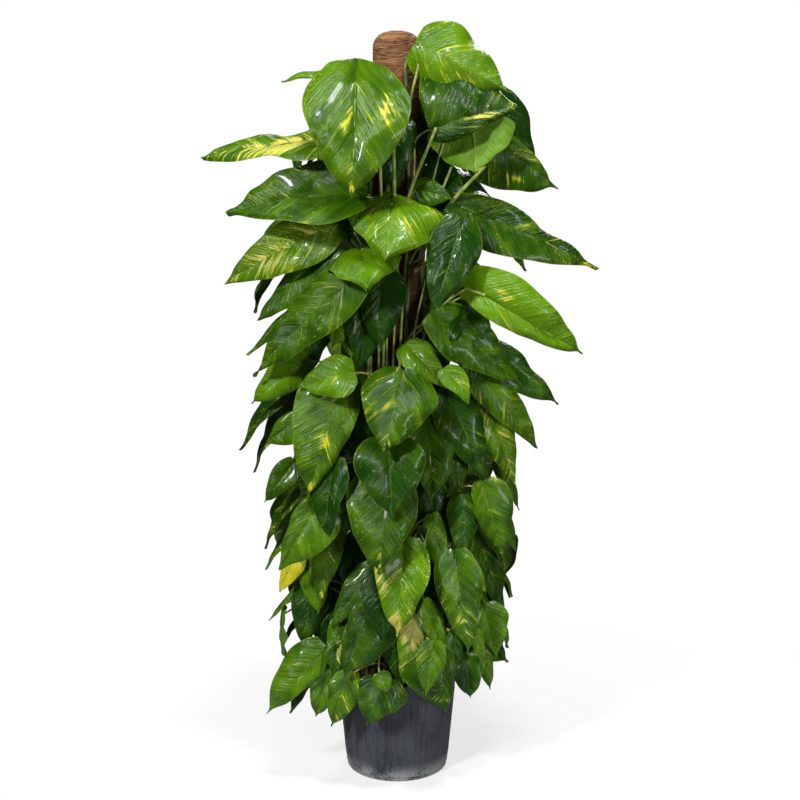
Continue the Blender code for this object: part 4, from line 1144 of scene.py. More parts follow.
# %% Helpers for Geometry Nodes
def new_tree(title, inputs):
    """A Geometry Nodes tree with a geometry input and output and named inputs for sizes."""
    tree = bpy.data.node_groups.new(title, "GeometryNodeTree")
    tree.interface.new_socket("Geometry", in_out="INPUT", socket_type="NodeSocketGeometry")
    for name, kind in inputs.items():
        tree.interface.new_socket(name, in_out="INPUT", socket_type="NodeSocket" + kind)
    tree.interface.new_socket("Geometry", in_out="OUTPUT", socket_type="NodeSocketGeometry")
    graph = Graph(tree)
    return graph, graph.add("NodeGroupInput")


def close_tree(graph, geometry, finish):
    """End a tree: everything real, with its finish."""
    real = graph.add("GeometryNodeRealizeInstances", {}, {"Geometry": geometry})
    dressed = graph.add("GeometryNodeSetMaterial", {}, {"Geometry": real, "Material": finish})
    graph.add("NodeGroupOutput", {}, {"Geometry": dressed})


def grow(name, graph, base, sizes, angle=50.0):
    """Run a tree on a base mesh and keep the result as a plain mesh object."""
    maker = link(bpy.data.objects.new("maker", base))
    modifier = maker.modifiers.new("grow", "NODES")
    modifier.node_group = graph.tree
    for item in graph.tree.interface.items_tree:
        if item.in_out == "INPUT" and item.name in sizes:
            modifier[item.identifier] = sizes[item.name]
    bpy.context.view_layer.update()
    ready = maker.evaluated_get(bpy.context.evaluated_depsgraph_get())
    mesh = bpy.data.meshes.new_from_object(ready)
    mesh.name = name
    bpy.data.objects.remove(maker, do_unlink=True)
    mesh.shade_smooth()
    mesh.set_sharp_from_angle(angle=math.radians(angle))
    made = link(bpy.data.objects.new(name, mesh))
    print(name, "faces", len(mesh.polygons))
    return made


def lines_mesh(paths):
    """A mesh of open lines; each corner carries its thickness and tone."""
    points, edges, thick, tone = [], [], [], []
    for path, radii, tones in paths:
        start = len(points)
        points += [tuple(point) for point in path]
        edges += [(start + step, start + step + 1) for step in range(len(path) - 1)]
        thick += list(radii)
        tone += list(tones)
    mesh = bpy.data.meshes.new("lines")
    mesh.from_pydata(points, edges, [])
    mesh.attributes.new("thick", "FLOAT", "POINT").data.foreach_set("value", thick)
    mesh.attributes.new("tone", "FLOAT", "POINT").data.foreach_set("value", tone)
    return mesh


def cane_tree():
    """Lines to round canes; the thickness comes from the lines' corners."""
    graph, start = new_tree("canes", {"Sides": "Int", "Finish": "Material"})
    curve = graph.add("GeometryNodeMeshToCurve", {}, {"Mesh": start.out("Geometry")})
    thick = graph.add("GeometryNodeInputNamedAttribute", {"data_type": "FLOAT"}, {"Name": "thick"})
    ring = graph.add("GeometryNodeCurvePrimitiveCircle", {}, {"Resolution": start.out("Sides"), "Radius": 1.0})
    cane = graph.add("GeometryNodeCurveToMesh", {}, {
        "Curve": curve, "Profile Curve": ring, "Scale": thick, "Fill Caps": True})
    close_tree(graph, cane, start.out("Finish"))
    return graph


CANES = cane_tree()
print("cane tree nodes", len(CANES.tree.nodes))

# %% [markdown]
# ## Finish of the canes
# A stalk is fresh yellow-green with fine lengthwise lines. A stem is duller, grey-green, with brown
# rings at its nodes. An aerial root is brown and dry. One finish covers all three, steered by the
# tone that the corners carry: 0 for stalks, 1 for stems, 2 for roots.

# %% The cane finish
def cane_finish():
    """Yellow-green stalk, grey-green stem or brown root, by tone."""
    made, graph, shader = new_finish("vine_cane", 0.42, Specular_IOR_Level=0.45)
    tone = attribute(graph, "tone")
    place = graph.add("ShaderNodeTexCoord").out("Object")
    mottle = graph.speckle(place, 60.0, 3.0)
    lines = graph.speckle(place, 420.0, 2.0)
    fresh = graph.mix(mottle.rise(0.35, 0.65), colour(0.250, 0.370, 0.050), colour(0.560, 0.620, 0.190))
    stem = graph.mix(mottle.rise(0.35, 0.65), colour(0.075, 0.130, 0.040), colour(0.190, 0.240, 0.090))
    root = graph.mix(mottle.rise(0.35, 0.65), colour(0.070, 0.036, 0.014), colour(0.210, 0.125, 0.055))
    tint = graph.mix(tone.call("MINIMUM", 1.0), fresh, stem)
    tint = graph.mix((tone - 1.0).call("MAXIMUM", 0.0), tint, root)
    tint = graph.mix(lines.rise(0.62, 0.75) * 0.35, tint, colour(0.36, 0.36, 0.20))
    feed(graph, shader, Base_Color=tint, Roughness=0.32 + mottle * 0.2 + tone * 0.12)
    feed_bump(graph, shader, lines + mottle, 0.3, 0.0008)
    return made


CANE_FINISH = cane_finish()

# %% [markdown]
# ## Stalks, midribs and stems
# A stalk leaves the stem in a flat sheath, narrows, and thickens again in a short knee under the
# blade, where the leaf turns to the light. Its line runs on as the raised midrib of the underside. The
# stem swells at each node, and its top ends in the pointed sheath of the next leaf.

# %% Grow stalks and stems
STALK_STEPS = 14
MIDRIB_STEPS = 9
STEM_GAP = 0.009
NODE_SWELL = 0.30
NODE_REACH = 0.006
CANE_SIDES = 8


def smooth_stalk(leaf, vine, node_shift):
    """The stalk's curve from the stem to under the blade, with many steps."""
    root, middle, under, end = stalk_path(leaf, vine, node_shift)
    level = math.hypot(leaf.base.x, leaf.base.y) - POLE_RADIUS
    out = Vector((root.x, root.y, 0.0)).normalized()
    span = (end - root).length
    to_leaf = Vector((end.x - root.x, end.y - root.y, 0.0))
    if to_leaf.length > 1e-6:
        to_leaf.normalize()
    first = root + (out * 0.65 + Vector((0.0, 0.0, 0.75))) * (0.38 * span)
    arrive = (to_leaf * 0.8 + leaf.along * 0.5 + Vector((0.0, 0.0, 0.15))).normalized()
    before = under - arrive * (0.33 * span)
    return [bezier(root, first, before, under, step / STALK_STEPS) for step in range(STALK_STEPS + 1)]


def stalk_line(number, leaf, vine, node_shift):
    """Stalk and midrib as one line with its thickness."""
    path = smooth_stalk(leaf, vine, node_shift)
    radii = []
    for step in range(len(path)):
        share = step / STALK_STEPS
        sheath = 0.75 * math.exp(-(share / 0.10) ** 2)
        knee = 0.22 * math.exp(-((share - 0.97) / 0.05) ** 2)
        radii.append(STALK_RADIUS * (0.95 + sheath + knee - 0.12 * share))
    places, normals = MIDRIB_LINES[number]
    for step in range(1, MIDRIB_STEPS + 1):
        row = round((0.05 + 0.85 * step / MIDRIB_STEPS) * (ROW_COUNT - 1))
        radius = 0.0013 * (1.0 - 0.85 * ROWS[row])
        path.append(Vector(places[row] - normals[row] * (radius + 0.0002)))
        radii.append(radius)
    return path, radii, [0.0] * len(path)


def stem_nodes(vine):
    """Heights of a stem's nodes: one at each of its stalks."""
    heights = []
    for _number, leaf, owner, node_shift in LEAVES:
        if owner == vine:
            heights.append(stalk_path(leaf, vine, node_shift)[0].z)
    return heights


def stem_line(vine):
    """A stem from inside the soil to its sheathed tip, swollen at its nodes."""
    nodes = stem_nodes(vine)
    low, high = SOIL_TOP - 0.020, VINE_TOPS[vine] + 0.012
    count = int((high - low) / STEM_GAP)
    path, radii, tones = [], [], []
    for step in range(count + 1):
        z = low + (high - low) * step / count
        share = 1.0 if z < TIE_HEIGHTS[-1] else STEM_TIP_SHARE
        share *= min(1.0, max(0.08, (high - z) / 0.030))
        near = min(abs(z - node) for node in nodes)
        swell = math.exp(-(near / NODE_REACH) ** 2)
        path.append(stem_point(vine, z))
        radii.append(STEM_RADIUS * share * (0.93 + NODE_SWELL * swell * share))
        tones.append(1.0 + 0.5 * swell)
    return path, radii, tones


for vine in range(VINE_COUNT):
    lines = [stem_line(vine)]
    lines += [stalk_line(number, leaf, vine, shift) for number, leaf, owner, shift in LEAVES if owner == vine]
    canes = grow("canes_%d" % (vine + 1), CANES, lines_mesh(lines), {"Sides": CANE_SIDES, "Finish": CANE_FINISH})
    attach(canes, "root")
    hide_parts("vine_%d" % (vine + 1))

# %% [markdown]
# ## Long stalks in the gap
# Half way up, the leaves part and show what is behind them: the pole and a sheaf of long stalks that
# climb steeply from low nodes to high leaves. They were read from the photograph like the leaves, as
# a low and a high point on the front elevation, and each one is bowed a little away from the pole.

# %% Grow the long stalks
# Centimetres on the front elevation: low x, z; high x, z; distance before the axis of both; thickness
LONG_STALKS = (
    (1.2, 110.0, 6.6, 130.4, 5.4, 13.0, 0.32),
    (0.2, 103.0, -1.2, 133.0, 6.2, 9.5, 0.36),
    (-2.4, 102.0, -3.4, 131.0, 6.2, 9.5, 0.32),
    (4.2, 107.0, 8.8, 128.5, 5.6, 8.0, 0.22),
    (5.6, 106.0, 12.6, 130.4, 5.2, 7.6, 0.24),
    (4.1, 92.6, 12.4, 101.4, 3.6, 13.0, 0.32),
    (4.4, 106.0, 15.9, 123.8, 3.4, 14.0, 0.36),
    (-5.2, 83.0, -8.0, 102.6, 6.4, 13.0, 0.22),
    (-4.5, 82.0, -5.6, 107.0, 6.6, 9.6, 0.24),
    (-3.5, 82.0, -3.9, 107.5, 6.6, 9.2, 0.22),
    (-2.7, 82.0, -1.8, 113.5, 6.4, 9.8, 0.24),
    (-1.7, 82.0, -1.0, 115.8, 6.2, 10.6, 0.22),
    (-0.8, 83.0, 0.9, 115.8, 6.4, 9.6, 0.20),
    (0.5, 84.0, 2.9, 118.8, 6.2, 8.8, 0.22),
    (2.4, 84.0, 5.2, 103.0, 6.0, 7.4, 0.20),
    (3.3, 85.0, 9.0, 103.8, 5.6, 7.0, 0.22),
    (2.0, 128.0, 4.3, 145.0, 5.4, 8.6, 0.26),
)
LONG_STEPS = 16
LONG_BOW = 0.010


STALK_ROOT_DEPTH = 0.002
STALK_ROOT_DROP = 0.015
STALK_JOIN_REACH = 0.060


def nearest_midrib(point):
    """The midrib corner of a fine blade that is nearest to a point, and how far it is."""
    corners = np.vstack([places for places, _normals in MIDRIB_LINES.values()])
    away = np.linalg.norm(corners - np.array(point), axis=1)
    return Vector(corners[np.argmin(away)]), float(away.min())


def long_stalk(row, rng):
    """One long stalk: rooted in the pole, nearly straight between its two points, joined to a leaf."""
    low_x, low_z, high_x, high_z, low_out, high_out, thickness = row
    low = along_sight(low_x, low_z, -low_out * CM)
    high = along_sight(high_x, high_z, -high_out * CM)
    wave = rng.uniform(-0.004, 0.004)
    root = Vector((low.x, low.y, 0.0)) * ((POLE_RADIUS - STALK_ROOT_DEPTH) / math.hypot(low.x, low.y))
    root.z = low.z - STALK_ROOT_DROP
    path, radii = [root], [thickness * CM * 1.25]
    for step in range(LONG_STEPS + 1):
        share = step / LONG_STEPS
        lean = share ** 1.6
        spot = low.lerp(high, share)
        spot.y = low.y + (high.y - low.y) * lean - LONG_BOW * math.sin(math.pi * share)
        spot.x = low.x + (high.x - low.x) * (0.35 * share + 0.65 * share ** 2) + wave * math.sin(5.0 * share)
        path.append(spot)
        radii.append(thickness * CM * (1.25 - 0.35 * share))
    joint, away = nearest_midrib(high)
    if away < STALK_JOIN_REACH:
        path.append(joint)
        radii.append(radii[-1] * 0.9)
    print("long stalk's end to the nearest midrib", round(away * 1000.0), "mm")
    return path, radii, [0.12] * len(path)


long_rng = random.Random(31)
long_lines = [long_stalk(row, long_rng) for row in LONG_STALKS]
long_stalks = grow("long_stalks", CANES, lines_mesh(long_lines), {"Sides": CANE_SIDES, "Finish": CANE_FINISH})
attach(long_stalks, "root")

# %% [markdown]
# ## Aerial roots
# A climbing stem puts out short brown roots at its nodes, which creep over the coir and hold on. They
# are lines again, from a node on the stem to the pole's surface, wandering as they go.

# %% Grow aerial roots
ROOTS_PER_VINE = 16
ROOT_STEPS = 8
ROOT_SIDES = 5
ROOT_HUG = 0.0012


def root_line(vine, rng):
    """One root: out of the stem, down to the pole and along it."""
    z = rng.uniform(STEM_LEAN_IN + 0.02, VINE_TOPS[vine] - 0.06)
    start = stem_point(vine, z)
    azimuth = math.radians(azimuth_of(start))
    turn = rng.choice((-1.0, 1.0)) * rng.uniform(0.25, 0.65)
    fall = rng.uniform(-0.004, 0.026)
    size = rng.uniform(0.0007, 0.0012)
    path, radii = [], []
    for step in range(ROOT_STEPS + 1):
        share = step / ROOT_STEPS
        radius = POLE_RADIUS + ROOT_HUG + (math.hypot(start.x, start.y) - POLE_RADIUS - ROOT_HUG) * (1.0 - share) ** 3
        angle = azimuth + turn * share + 0.04 * math.sin(9.0 * share + vine)
        height = z - fall * share ** 1.5 + 0.0015 * math.sin(7.0 * share + 2.0 * z * 90.0)
        path.append(Vector((radius * math.sin(angle), -radius * math.cos(angle), height)))
        radii.append(size * (1.0 - 0.7 * share))
    return path, radii, [2.0] * len(path)


root_rng = random.Random(77)
root_lines = [root_line(vine, root_rng) for vine in range(VINE_COUNT) for _root in range(ROOTS_PER_VINE)]
roots = grow("aerial_roots", CANES, lines_mesh(root_lines), {"Sides": ROOT_SIDES, "Finish": CANE_FINISH})
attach(roots, "root")

# %% [markdown]
# ## The coir pole
# Coir is coconut fibre: coarse red-brown hairs, here wound round a wooden stake and held by their own
# tangle. Close up it is a lumpy mat with single hairs lying over it, so it takes two layers: a turned
# body whose surface is disturbed in bands, and Geometry Nodes hairs wrapped round it.

# %% Turn closed shapes
def lathe(name, profile, sides, finish, closed_ring=False, disturb=None, angle=40.0):
    """A turned shape from radius and height pairs; disturb moves each corner outwards."""
    points, rings, faces = [], [], []
    for radius, z in profile:
        if radius == 0.0:
            rings.append([len(points)])
            points.append((0.0, 0.0, z))
            continue
        rings.append(list(range(len(points), len(points) + sides)))
        for side in range(sides):
            turn = 2.0 * math.pi * side / sides
            proud = radius + (disturb(turn, radius, z) if disturb else 0.0)
            points.append((proud * math.cos(turn), proud * math.sin(turn), z))
    pairs = list(zip(rings, rings[1:]))
    if closed_ring:
        pairs.append((rings[-1], rings[0]))
    for lower, upper in pairs:
        for side in range(sides):
            after = (side + 1) % sides
            corners = [lower[side % len(lower)], lower[after % len(lower)],
                       upper[after % len(upper)], upper[side % len(upper)]]
            faces.append([c for place, c in enumerate(corners) if c not in corners[:place]])
    return plain_piece(name, points, faces, finish, angle)


def painted_shade_line(z):
    """Painted shade of the leaves: the coir keeps its colour at the top of the pole and is darkened below, where the
    leaves shade it.
    """
    return z.rise(1.26, 1.42) * 0.70 + 0.30


def coir_finish(name, deep, warm, light):
    """Red-brown fibre: bands round the pole, dark between the hairs."""
    made, graph, shader = new_finish(name, 0.9, Specular_IOR_Level=0.2)
    place = graph.add("ShaderNodeTexCoord").out("Object")
    x, y, z = place.parts()
    bands = graph.speckle(graph.vector(x * 22.0, y * 22.0, z * 300.0), 1.0, 3.0, 0.6, 0.8)
    hairs = graph.speckle(graph.vector(x * 90.0, y * 90.0, z * 1400.0), 1.0, 2.0, 0.6, 0.6)
    patches = graph.speckle(place, 14.0, 3.0)
    tint = graph.mix(bands.rise(0.36, 0.62), deep, warm)
    tint = graph.mix(hairs.rise(0.52, 0.72) * 0.75, tint, light)
    tint = graph.mix(patches.rise(0.45, 0.70) * 0.45, tint, deep)
    # Painted shade: the pole darkens below its top, where the leaves shade it.
    tint = graph.mix(1.0 - painted_shade_line(z), tint, deep)
    feed(graph, shader, Base_Color=tint, Roughness=0.78 + hairs * 0.2)
    feed_bump(graph, shader, hairs + bands, 0.7, 0.002)
    return made


COIR_DEEP = colour(0.060, 0.022, 0.010)
COIR_WARM = colour(0.330, 0.150, 0.062)
COIR_LIGHT = colour(0.620, 0.380, 0.200)
COIR_FINISH = coir_finish("coir_mat", COIR_DEEP, COIR_WARM, COIR_LIGHT)

# %% Turn the pole's body
POLE_ROWS = 420
POLE_SIDES_FINE = 120
COIR_LUMP = 0.0016


def coir_lump(turn, radius, z):
    """Height of the mat over the pole: slow lumps and thin bands."""
    if radius < 0.5 * POLE_RADIUS:
        return 0.0
    x, y = radius * math.cos(turn), radius * math.sin(turn)
    slow = noise.noise(Vector((x * 28.0, y * 28.0, z * 22.0)))
    band = noise.noise(Vector((x * 60.0, y * 60.0, z * 340.0)))
    return COIR_LUMP * (0.35 * slow + 0.65 * band)


COIR_SHOULDER = 0.032


def pole_profile():
    """Outside of the sleeve from its foot to its rounded top, then down the bore."""
    bore = CORE_RADIUS + 0.0003
    shoulder_z = POLE_TOP - COIR_SHOULDER
    profile = [(bore, POLE_FOOT)]
    for row in range(POLE_ROWS + 1):
        profile.append((POLE_RADIUS, POLE_FOOT + (shoulder_z - POLE_FOOT) * row / POLE_ROWS))
    for step in range(1, 10):
        turn = math.radians(10.0 * step)
        profile.append((POLE_RADIUS - COIR_SHOULDER * (1.0 - math.cos(turn)),
                        shoulder_z + (COIR_SHOULDER - 0.002) * math.sin(turn)))
    profile += [(0.012, POLE_TOP - 0.001), (0.0, POLE_TOP - 0.0005), (0.0, CORE_TOP + 0.0004), (bore, CORE_TOP + 0.0004)]
    return profile


sleeve = lathe("coir_body", pole_profile(), POLE_SIDES_FINE, COIR_FINISH, True, coir_lump, 80.0)
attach(sleeve, "root")
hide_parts("coir_sleeve")
print("pole body faces", len(sleeve.data.polygons))

# %% [markdown]
# The hairs: many short lines start at random places on the unrolled surface, each turned a little, and
# are then rolled up round the pole, following its rounded shoulder. Their lift above the mat is noise
# along their length, so they dive in and out of it.

# %% Wrap the hairs
HAIR_COUNT = 3000
HAIR_STEPS = 9
HAIR_LENGTH = 0.046
HAIR_RADIUS = 0.00034
HAIR_STAND = 0.0022
HAIR_SLOPE = 0.30
HAIR_LOW = 0.185


def hair_tree():
    """Random lines on the unrolled pole, rolled up round it and swept as thin hairs."""
    graph, start = new_tree("hairs", {
        "Count": "Int", "Steps": "Int", "Length": "Float", "Thickness": "Float", "Stand": "Float",
        "Slope": "Float", "Radius": "Float", "Low": "Float", "Top": "Float", "Shoulder": "Float",
        "Seed": "Int", "Finish": "Material"})
    number = {"data_type": "FLOAT"}
    seed = start.out("Seed")
    radius = start.out("Radius")
    girth = radius * (2.0 * math.pi)
    along = graph.add("FunctionNodeRandomValue", number, {"Min": 0.0, "Max": girth, "Seed": seed})
    height = graph.add("FunctionNodeRandomValue", number,
                       {"Min": start.out("Low"), "Max": start.out("Top") - 0.006, "Seed": seed + 1})
    seeds = graph.add("GeometryNodePoints", {}, {"Count": start.out("Count"),
                                                 "Position": graph.vector(along, 0.0, height)})
    slope = graph.add("FunctionNodeRandomValue", number,
                      {"Min": start.out("Slope") * -1.0, "Max": start.out("Slope"), "Seed": seed + 2})
    size = graph.add("FunctionNodeRandomValue", number, {"Min": 0.45, "Max": 1.25, "Seed": seed + 3})
    step = start.out("Length") / start.out("Steps")
    line = graph.add("GeometryNodeMeshLine", {}, {"Count": start.out("Steps"), "Offset": graph.vector(step)})
    hairs = graph.add("GeometryNodeInstanceOnPoints", {}, {
        "Points": seeds, "Instance": line, "Rotation": graph.vector(0.0, slope, 0.0), "Scale": size})
    tone = graph.add("FunctionNodeRandomValue", number, {"Min": 0.0, "Max": 1.0, "Seed": seed + 4})
    hairs = graph.add("GeometryNodeStoreNamedAttribute", {"data_type": "FLOAT", "domain": "INSTANCE"},
                      {"Geometry": hairs, "Name": "tone", "Value": tone})
    real = graph.add("GeometryNodeRealizeInstances", {}, {"Geometry": hairs})
    place = graph.add("GeometryNodeInputPosition")
    x, _y, z = place.parts()
    wander = graph.speckle(place, 45.0, 2.0)
    waver = graph.speckle(place, 28.0, 1.0) - 0.5
    over = (z - (start.out("Top") - start.out("Shoulder"))).call("MAXIMUM", 0.0)
    over = over.call("MINIMUM", start.out("Shoulder"))
    rounded = (start.out("Shoulder") ** 2.0 - over * over).call("SQRT")
    away = radius - start.out("Shoulder") + rounded + start.out("Stand") * (wander - 0.40)
    turn = x / radius
    rolled = graph.vector(away * turn.call("COSINE"), away * turn.call("SINE"), z + waver * 0.010)
    rolled_up = graph.add("GeometryNodeSetPosition", {}, {"Geometry": real, "Position": rolled})
    curve = graph.add("GeometryNodeMeshToCurve", {}, {"Mesh": rolled_up})
    ring = graph.add("GeometryNodeCurvePrimitiveCircle", {}, {"Resolution": 3, "Radius": start.out("Thickness")})
    swept = graph.add("GeometryNodeCurveToMesh", {}, {"Curve": curve, "Profile Curve": ring, "Fill Caps": True})
    close_tree(graph, swept, start.out("Finish"))
    return graph


def hair_finish():
    """Single coir hairs from dark red-brown to straw, by tone."""
    made, graph, shader = new_finish("coir_hair", 0.7, Specular_IOR_Level=0.3)
    tone = attribute(graph, "tone")
    place = graph.add("ShaderNodeTexCoord").out("Object")
    mottle = graph.speckle(place, 35.0, 2.0)
    tint = graph.mix((tone * 0.75 + mottle * 0.5 - 0.1).rise(0.1, 0.95), COIR_WARM, COIR_LIGHT)
    tint = graph.mix((1.0 - tone).rise(0.72, 1.0) * 0.8, tint, COIR_DEEP)
    _x, _y, z = place.parts()
    # Painted shade: the hairs darken below the pole's top, where the leaves shade them.
    tint = graph.mix(1.0 - painted_shade_line(z), tint, COIR_DEEP)
    feed(graph, shader, Base_Color=tint)
    return made


hairs = grow("coir_hairs", hair_tree(), bpy.data.meshes.new("nothing"), {
    "Count": HAIR_COUNT, "Steps": HAIR_STEPS, "Length": HAIR_LENGTH, "Thickness": HAIR_RADIUS,
    "Stand": HAIR_STAND, "Slope": HAIR_SLOPE, "Radius": POLE_RADIUS, "Low": HAIR_LOW,
    "Top": POLE_TOP - 0.0015, "Shoulder": COIR_SHOULDER, "Seed": 5, "Finish": hair_finish()})
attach(hairs, "root")

# %% [markdown]
# ## The pot
# The pot is moulded from thin dark plastic: an inset foot, a tapering wall with fine upright ribs that
# stiffen it, a collar and a rolled rim. The shell is turned with its real wall and drain holes; the
# ribs are one half-sunk rod that Geometry Nodes repeat round the wall.

# %% The pot finish
def pot_finish():
    """Anthracite plastic, dusty towards the foot and scuffed, with a pale line above the foot that is partly dust and
    partly a painted highlight on its edge.
    """
    made, graph, shader = new_finish("pot_plastic_worn", 0.5, Specular_IOR_Level=0.4)
    place = graph.add("ShaderNodeTexCoord").out("Object")
    x, y, z = place.parts()
    turn = y.call("ARCTAN2", x)
    upright = graph.speckle(graph.vector(turn * 26.0, z * 9.0, 0.0), 1.0, 3.0, 0.6)
    fine = graph.speckle(place, 240.0, 3.0)
    cloud = graph.speckle(place, 18.0, 3.0)
    scuff = graph.speckle(graph.vector(x * 120.0, y * 120.0, z * 60.0), 1.0, 2.0, 0.5, 1.5)
    tint = graph.mix(upright.rise(0.30, 0.70), colour(0.019, 0.024, 0.033), colour(0.047, 0.056, 0.074))
    low = 1.0 - z.rise(0.004, 0.040)
    # Pale line just above the foot: partly dust, partly a painted highlight on the foot's edge.
    line = z.rise(0.0068, 0.0082) * (1.0 - z.rise(0.0100, 0.0125))
    dust_and_foot_highlight = (low * 0.95 + 0.12) * (cloud * 0.7 + fine * 0.6).rise(0.46, 0.74)
    dust_and_foot_highlight = dust_and_foot_highlight.call("MAXIMUM", line * fine.rise(0.30, 0.55) * 0.8)
    tint = graph.mix(dust_and_foot_highlight, tint, colour(0.300, 0.305, 0.300))
    specks = fine.rise(0.74, 0.80) * 0.5
    tint = graph.mix(specks, tint, colour(0.240, 0.245, 0.240))
    tint = graph.mix(scuff.rise(0.68, 0.74) * 0.35, tint, colour(0.150, 0.155, 0.165))
    feed(graph, shader, Base_Color=tint, Roughness=0.42 + cloud * 0.22 + dust_and_foot_highlight * 0.3)
    feed_bump(graph, shader, fine * 0.5 + upright, 0.25, 0.0006)
    return made


POT_FINISH = pot_finish()

# %% Turn the pot
POT_SIDES_FINE = 192


def pot_profile():
    """The pot's closed section: up the outside, over the rolled rim and down the inside."""
    rim = POT_RIM_RADIUS
    top = POT_HEIGHT
    inner_base = POT_WALL_BASE_RADIUS - POT_WALL
    inner_collar = POT_COLLAR_RADIUS - POT_WALL
    return [
        (0.0, 0.0012), (0.060, 0.0012), (POT_FOOT_RADIUS - 0.006, 0.0010), (POT_FOOT_RADIUS - 0.003, 0.0),
        (POT_FOOT_RADIUS - 0.0008, 0.0003), (POT_FOOT_RADIUS, 0.0014), (POT_FOOT_RADIUS, POT_FOOT_HEIGHT - 0.001),
        (POT_WALL_BASE_RADIUS - 0.0004, POT_FOOT_HEIGHT - 0.0002), (POT_WALL_BASE_RADIUS + 0.0004, POT_FOOT_HEIGHT + 0.0016),
        (POT_WALL_BASE_RADIUS + 0.0002, POT_FOOT_HEIGHT + 0.004),
        (POT_COLLAR_RADIUS - 0.0006, POT_COLLAR_Z - 0.004), (POT_COLLAR_RADIUS, POT_COLLAR_Z - 0.001),
        (rim - 0.0016, POT_COLLAR_Z + 0.0012), (rim - 0.0006, POT_COLLAR_Z + 0.003),
        (rim - 0.0004, top - 0.005), (rim, top - 0.003), (rim, top - 0.001), (rim - 0.0008, top - 0.0002),
        (rim - 0.0020, top), (rim - POT_WALL, top - 0.0008), (rim - POT_WALL - 0.0004, top - 0.003),
        (inner_collar + 0.0012, POT_COLLAR_Z + 0.004), (inner_collar, POT_COLLAR_Z),
        (inner_base, POT_FOOT_HEIGHT + 0.001), (POT_FOOT_RADIUS - POT_WALL, 0.0030), (0.0, 0.0030),
    ]


def drill(target, cutters):
    """Cut closed shapes out of a piece and keep the plain result."""
    gathered = bpy.data.collections.new("gathered")
    for cutter in cutters:
        gathered.objects.link(cutter)
    modifier = target.modifiers.new("holes", "BOOLEAN")
    modifier.operation = "DIFFERENCE"
    modifier.operand_type = "COLLECTION"
    modifier.collection = gathered
    bpy.context.view_layer.update()
    ready = target.evaluated_get(bpy.context.evaluated_depsgraph_get())
    fresh = bpy.data.meshes.new_from_object(ready)
    target.modifiers.clear()
    target.data = fresh
    for cutter in cutters:
        bpy.data.objects.remove(cutter, do_unlink=True)
    bpy.data.collections.remove(gathered)


def drain_cutters():
    """One rod through the floor for each drain hole."""
    rods = []
    for index in range(DRAIN_COUNT):
        turn = 2.0 * math.pi * index / DRAIN_COUNT
        rod = lathe("rod", ((0.0, -0.01), (DRAIN_RADIUS, -0.01), (DRAIN_RADIUS, 0.01), (0.0, 0.01)), 24, POT_FINISH)
        rod.data.transform(Matrix.Translation((DRAIN_RING * math.cos(turn), DRAIN_RING * math.sin(turn), 0.0)))
        rods.append(rod)
    return rods


pot = lathe("pot_shell", pot_profile(), POT_SIDES_FINE, POT_FINISH, False, None, 32.0)
drill(pot, drain_cutters())
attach(pot, "root")
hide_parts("pot")
print("pot faces", len(pot.data.polygons))

# %% Rib the wall
RIB_COUNT = 132
RIB_RADIUS = 0.00125
RIB_LOW = POT_FOOT_HEIGHT + 0.0050
RIB_HIGH = POT_COLLAR_Z - 0.0050
RIB_SIDES = 8


def wall_radius(z):
    """Outside radius of the wall at a height."""
    share = (z - POT_FOOT_HEIGHT) / (POT_COLLAR_Z - POT_FOOT_HEIGHT)
    return POT_WALL_BASE_RADIUS + (POT_COLLAR_RADIUS - POT_WALL_BASE_RADIUS) * share


def rib_tree():
    """One rod up the wall, repeated round the pot."""
    graph, start = new_tree("ribs", {
        "Count": "Int", "Low radius": "Float", "High radius": "Float", "Low": "Float", "High": "Float",
        "Thickness": "Float", "Sides": "Int", "Finish": "Material"})
    foot = graph.vector(start.out("Low radius"), 0.0, start.out("Low"))
    head = graph.vector(start.out("High radius"), 0.0, start.out("High"))
    line = graph.add("GeometryNodeCurvePrimitiveLine", {}, {"Start": foot, "End": head})
    line = graph.add("GeometryNodeResampleCurve", {}, {"Curve": line, "Count": 12})
    share = graph.add("GeometryNodeSplineParameter").out("Factor")
    ends = (share * (1.0 - share) * 40.0).call("MINIMUM", 1.0) * 0.85 + 0.15
    ring = graph.add("GeometryNodeCurvePrimitiveCircle", {}, {
        "Resolution": start.out("Sides"), "Radius": start.out("Thickness")})
    rod = graph.add("GeometryNodeCurveToMesh", {}, {
        "Curve": line, "Profile Curve": ring, "Scale": ends, "Fill Caps": True})
    seats = graph.add("GeometryNodePoints", {}, {"Count": start.out("Count")})
    index = graph.add("GeometryNodeInputIndex")
    turn = index / start.out("Count") * (2.0 * math.pi)
    ribs = graph.add("GeometryNodeInstanceOnPoints", {}, {
        "Points": seats, "Instance": rod, "Rotation": graph.vector(0.0, 0.0, turn)})
    close_tree(graph, ribs, start.out("Finish"))
    return graph


ribs = grow("pot_ribs", rib_tree(), bpy.data.meshes.new("nothing"), {
    "Count": RIB_COUNT, "Low radius": wall_radius(RIB_LOW) - 0.0004, "High radius": wall_radius(RIB_HIGH) - 0.0004,
    "Low": RIB_LOW, "High": RIB_HIGH, "Thickness": RIB_RADIUS, "Sides": RIB_SIDES, "Finish": POT_FINISH})
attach(ribs, "root")

# %% [markdown]
# ## The soil
# Potting mix settles into an uneven, fibrous surface with crumbs and a few white grains. The body is
# turned with a disturbed top that meets the wall below the rim, and crumbs are scattered on a seeded
# ring of points, each a low-sided stone of its own size.

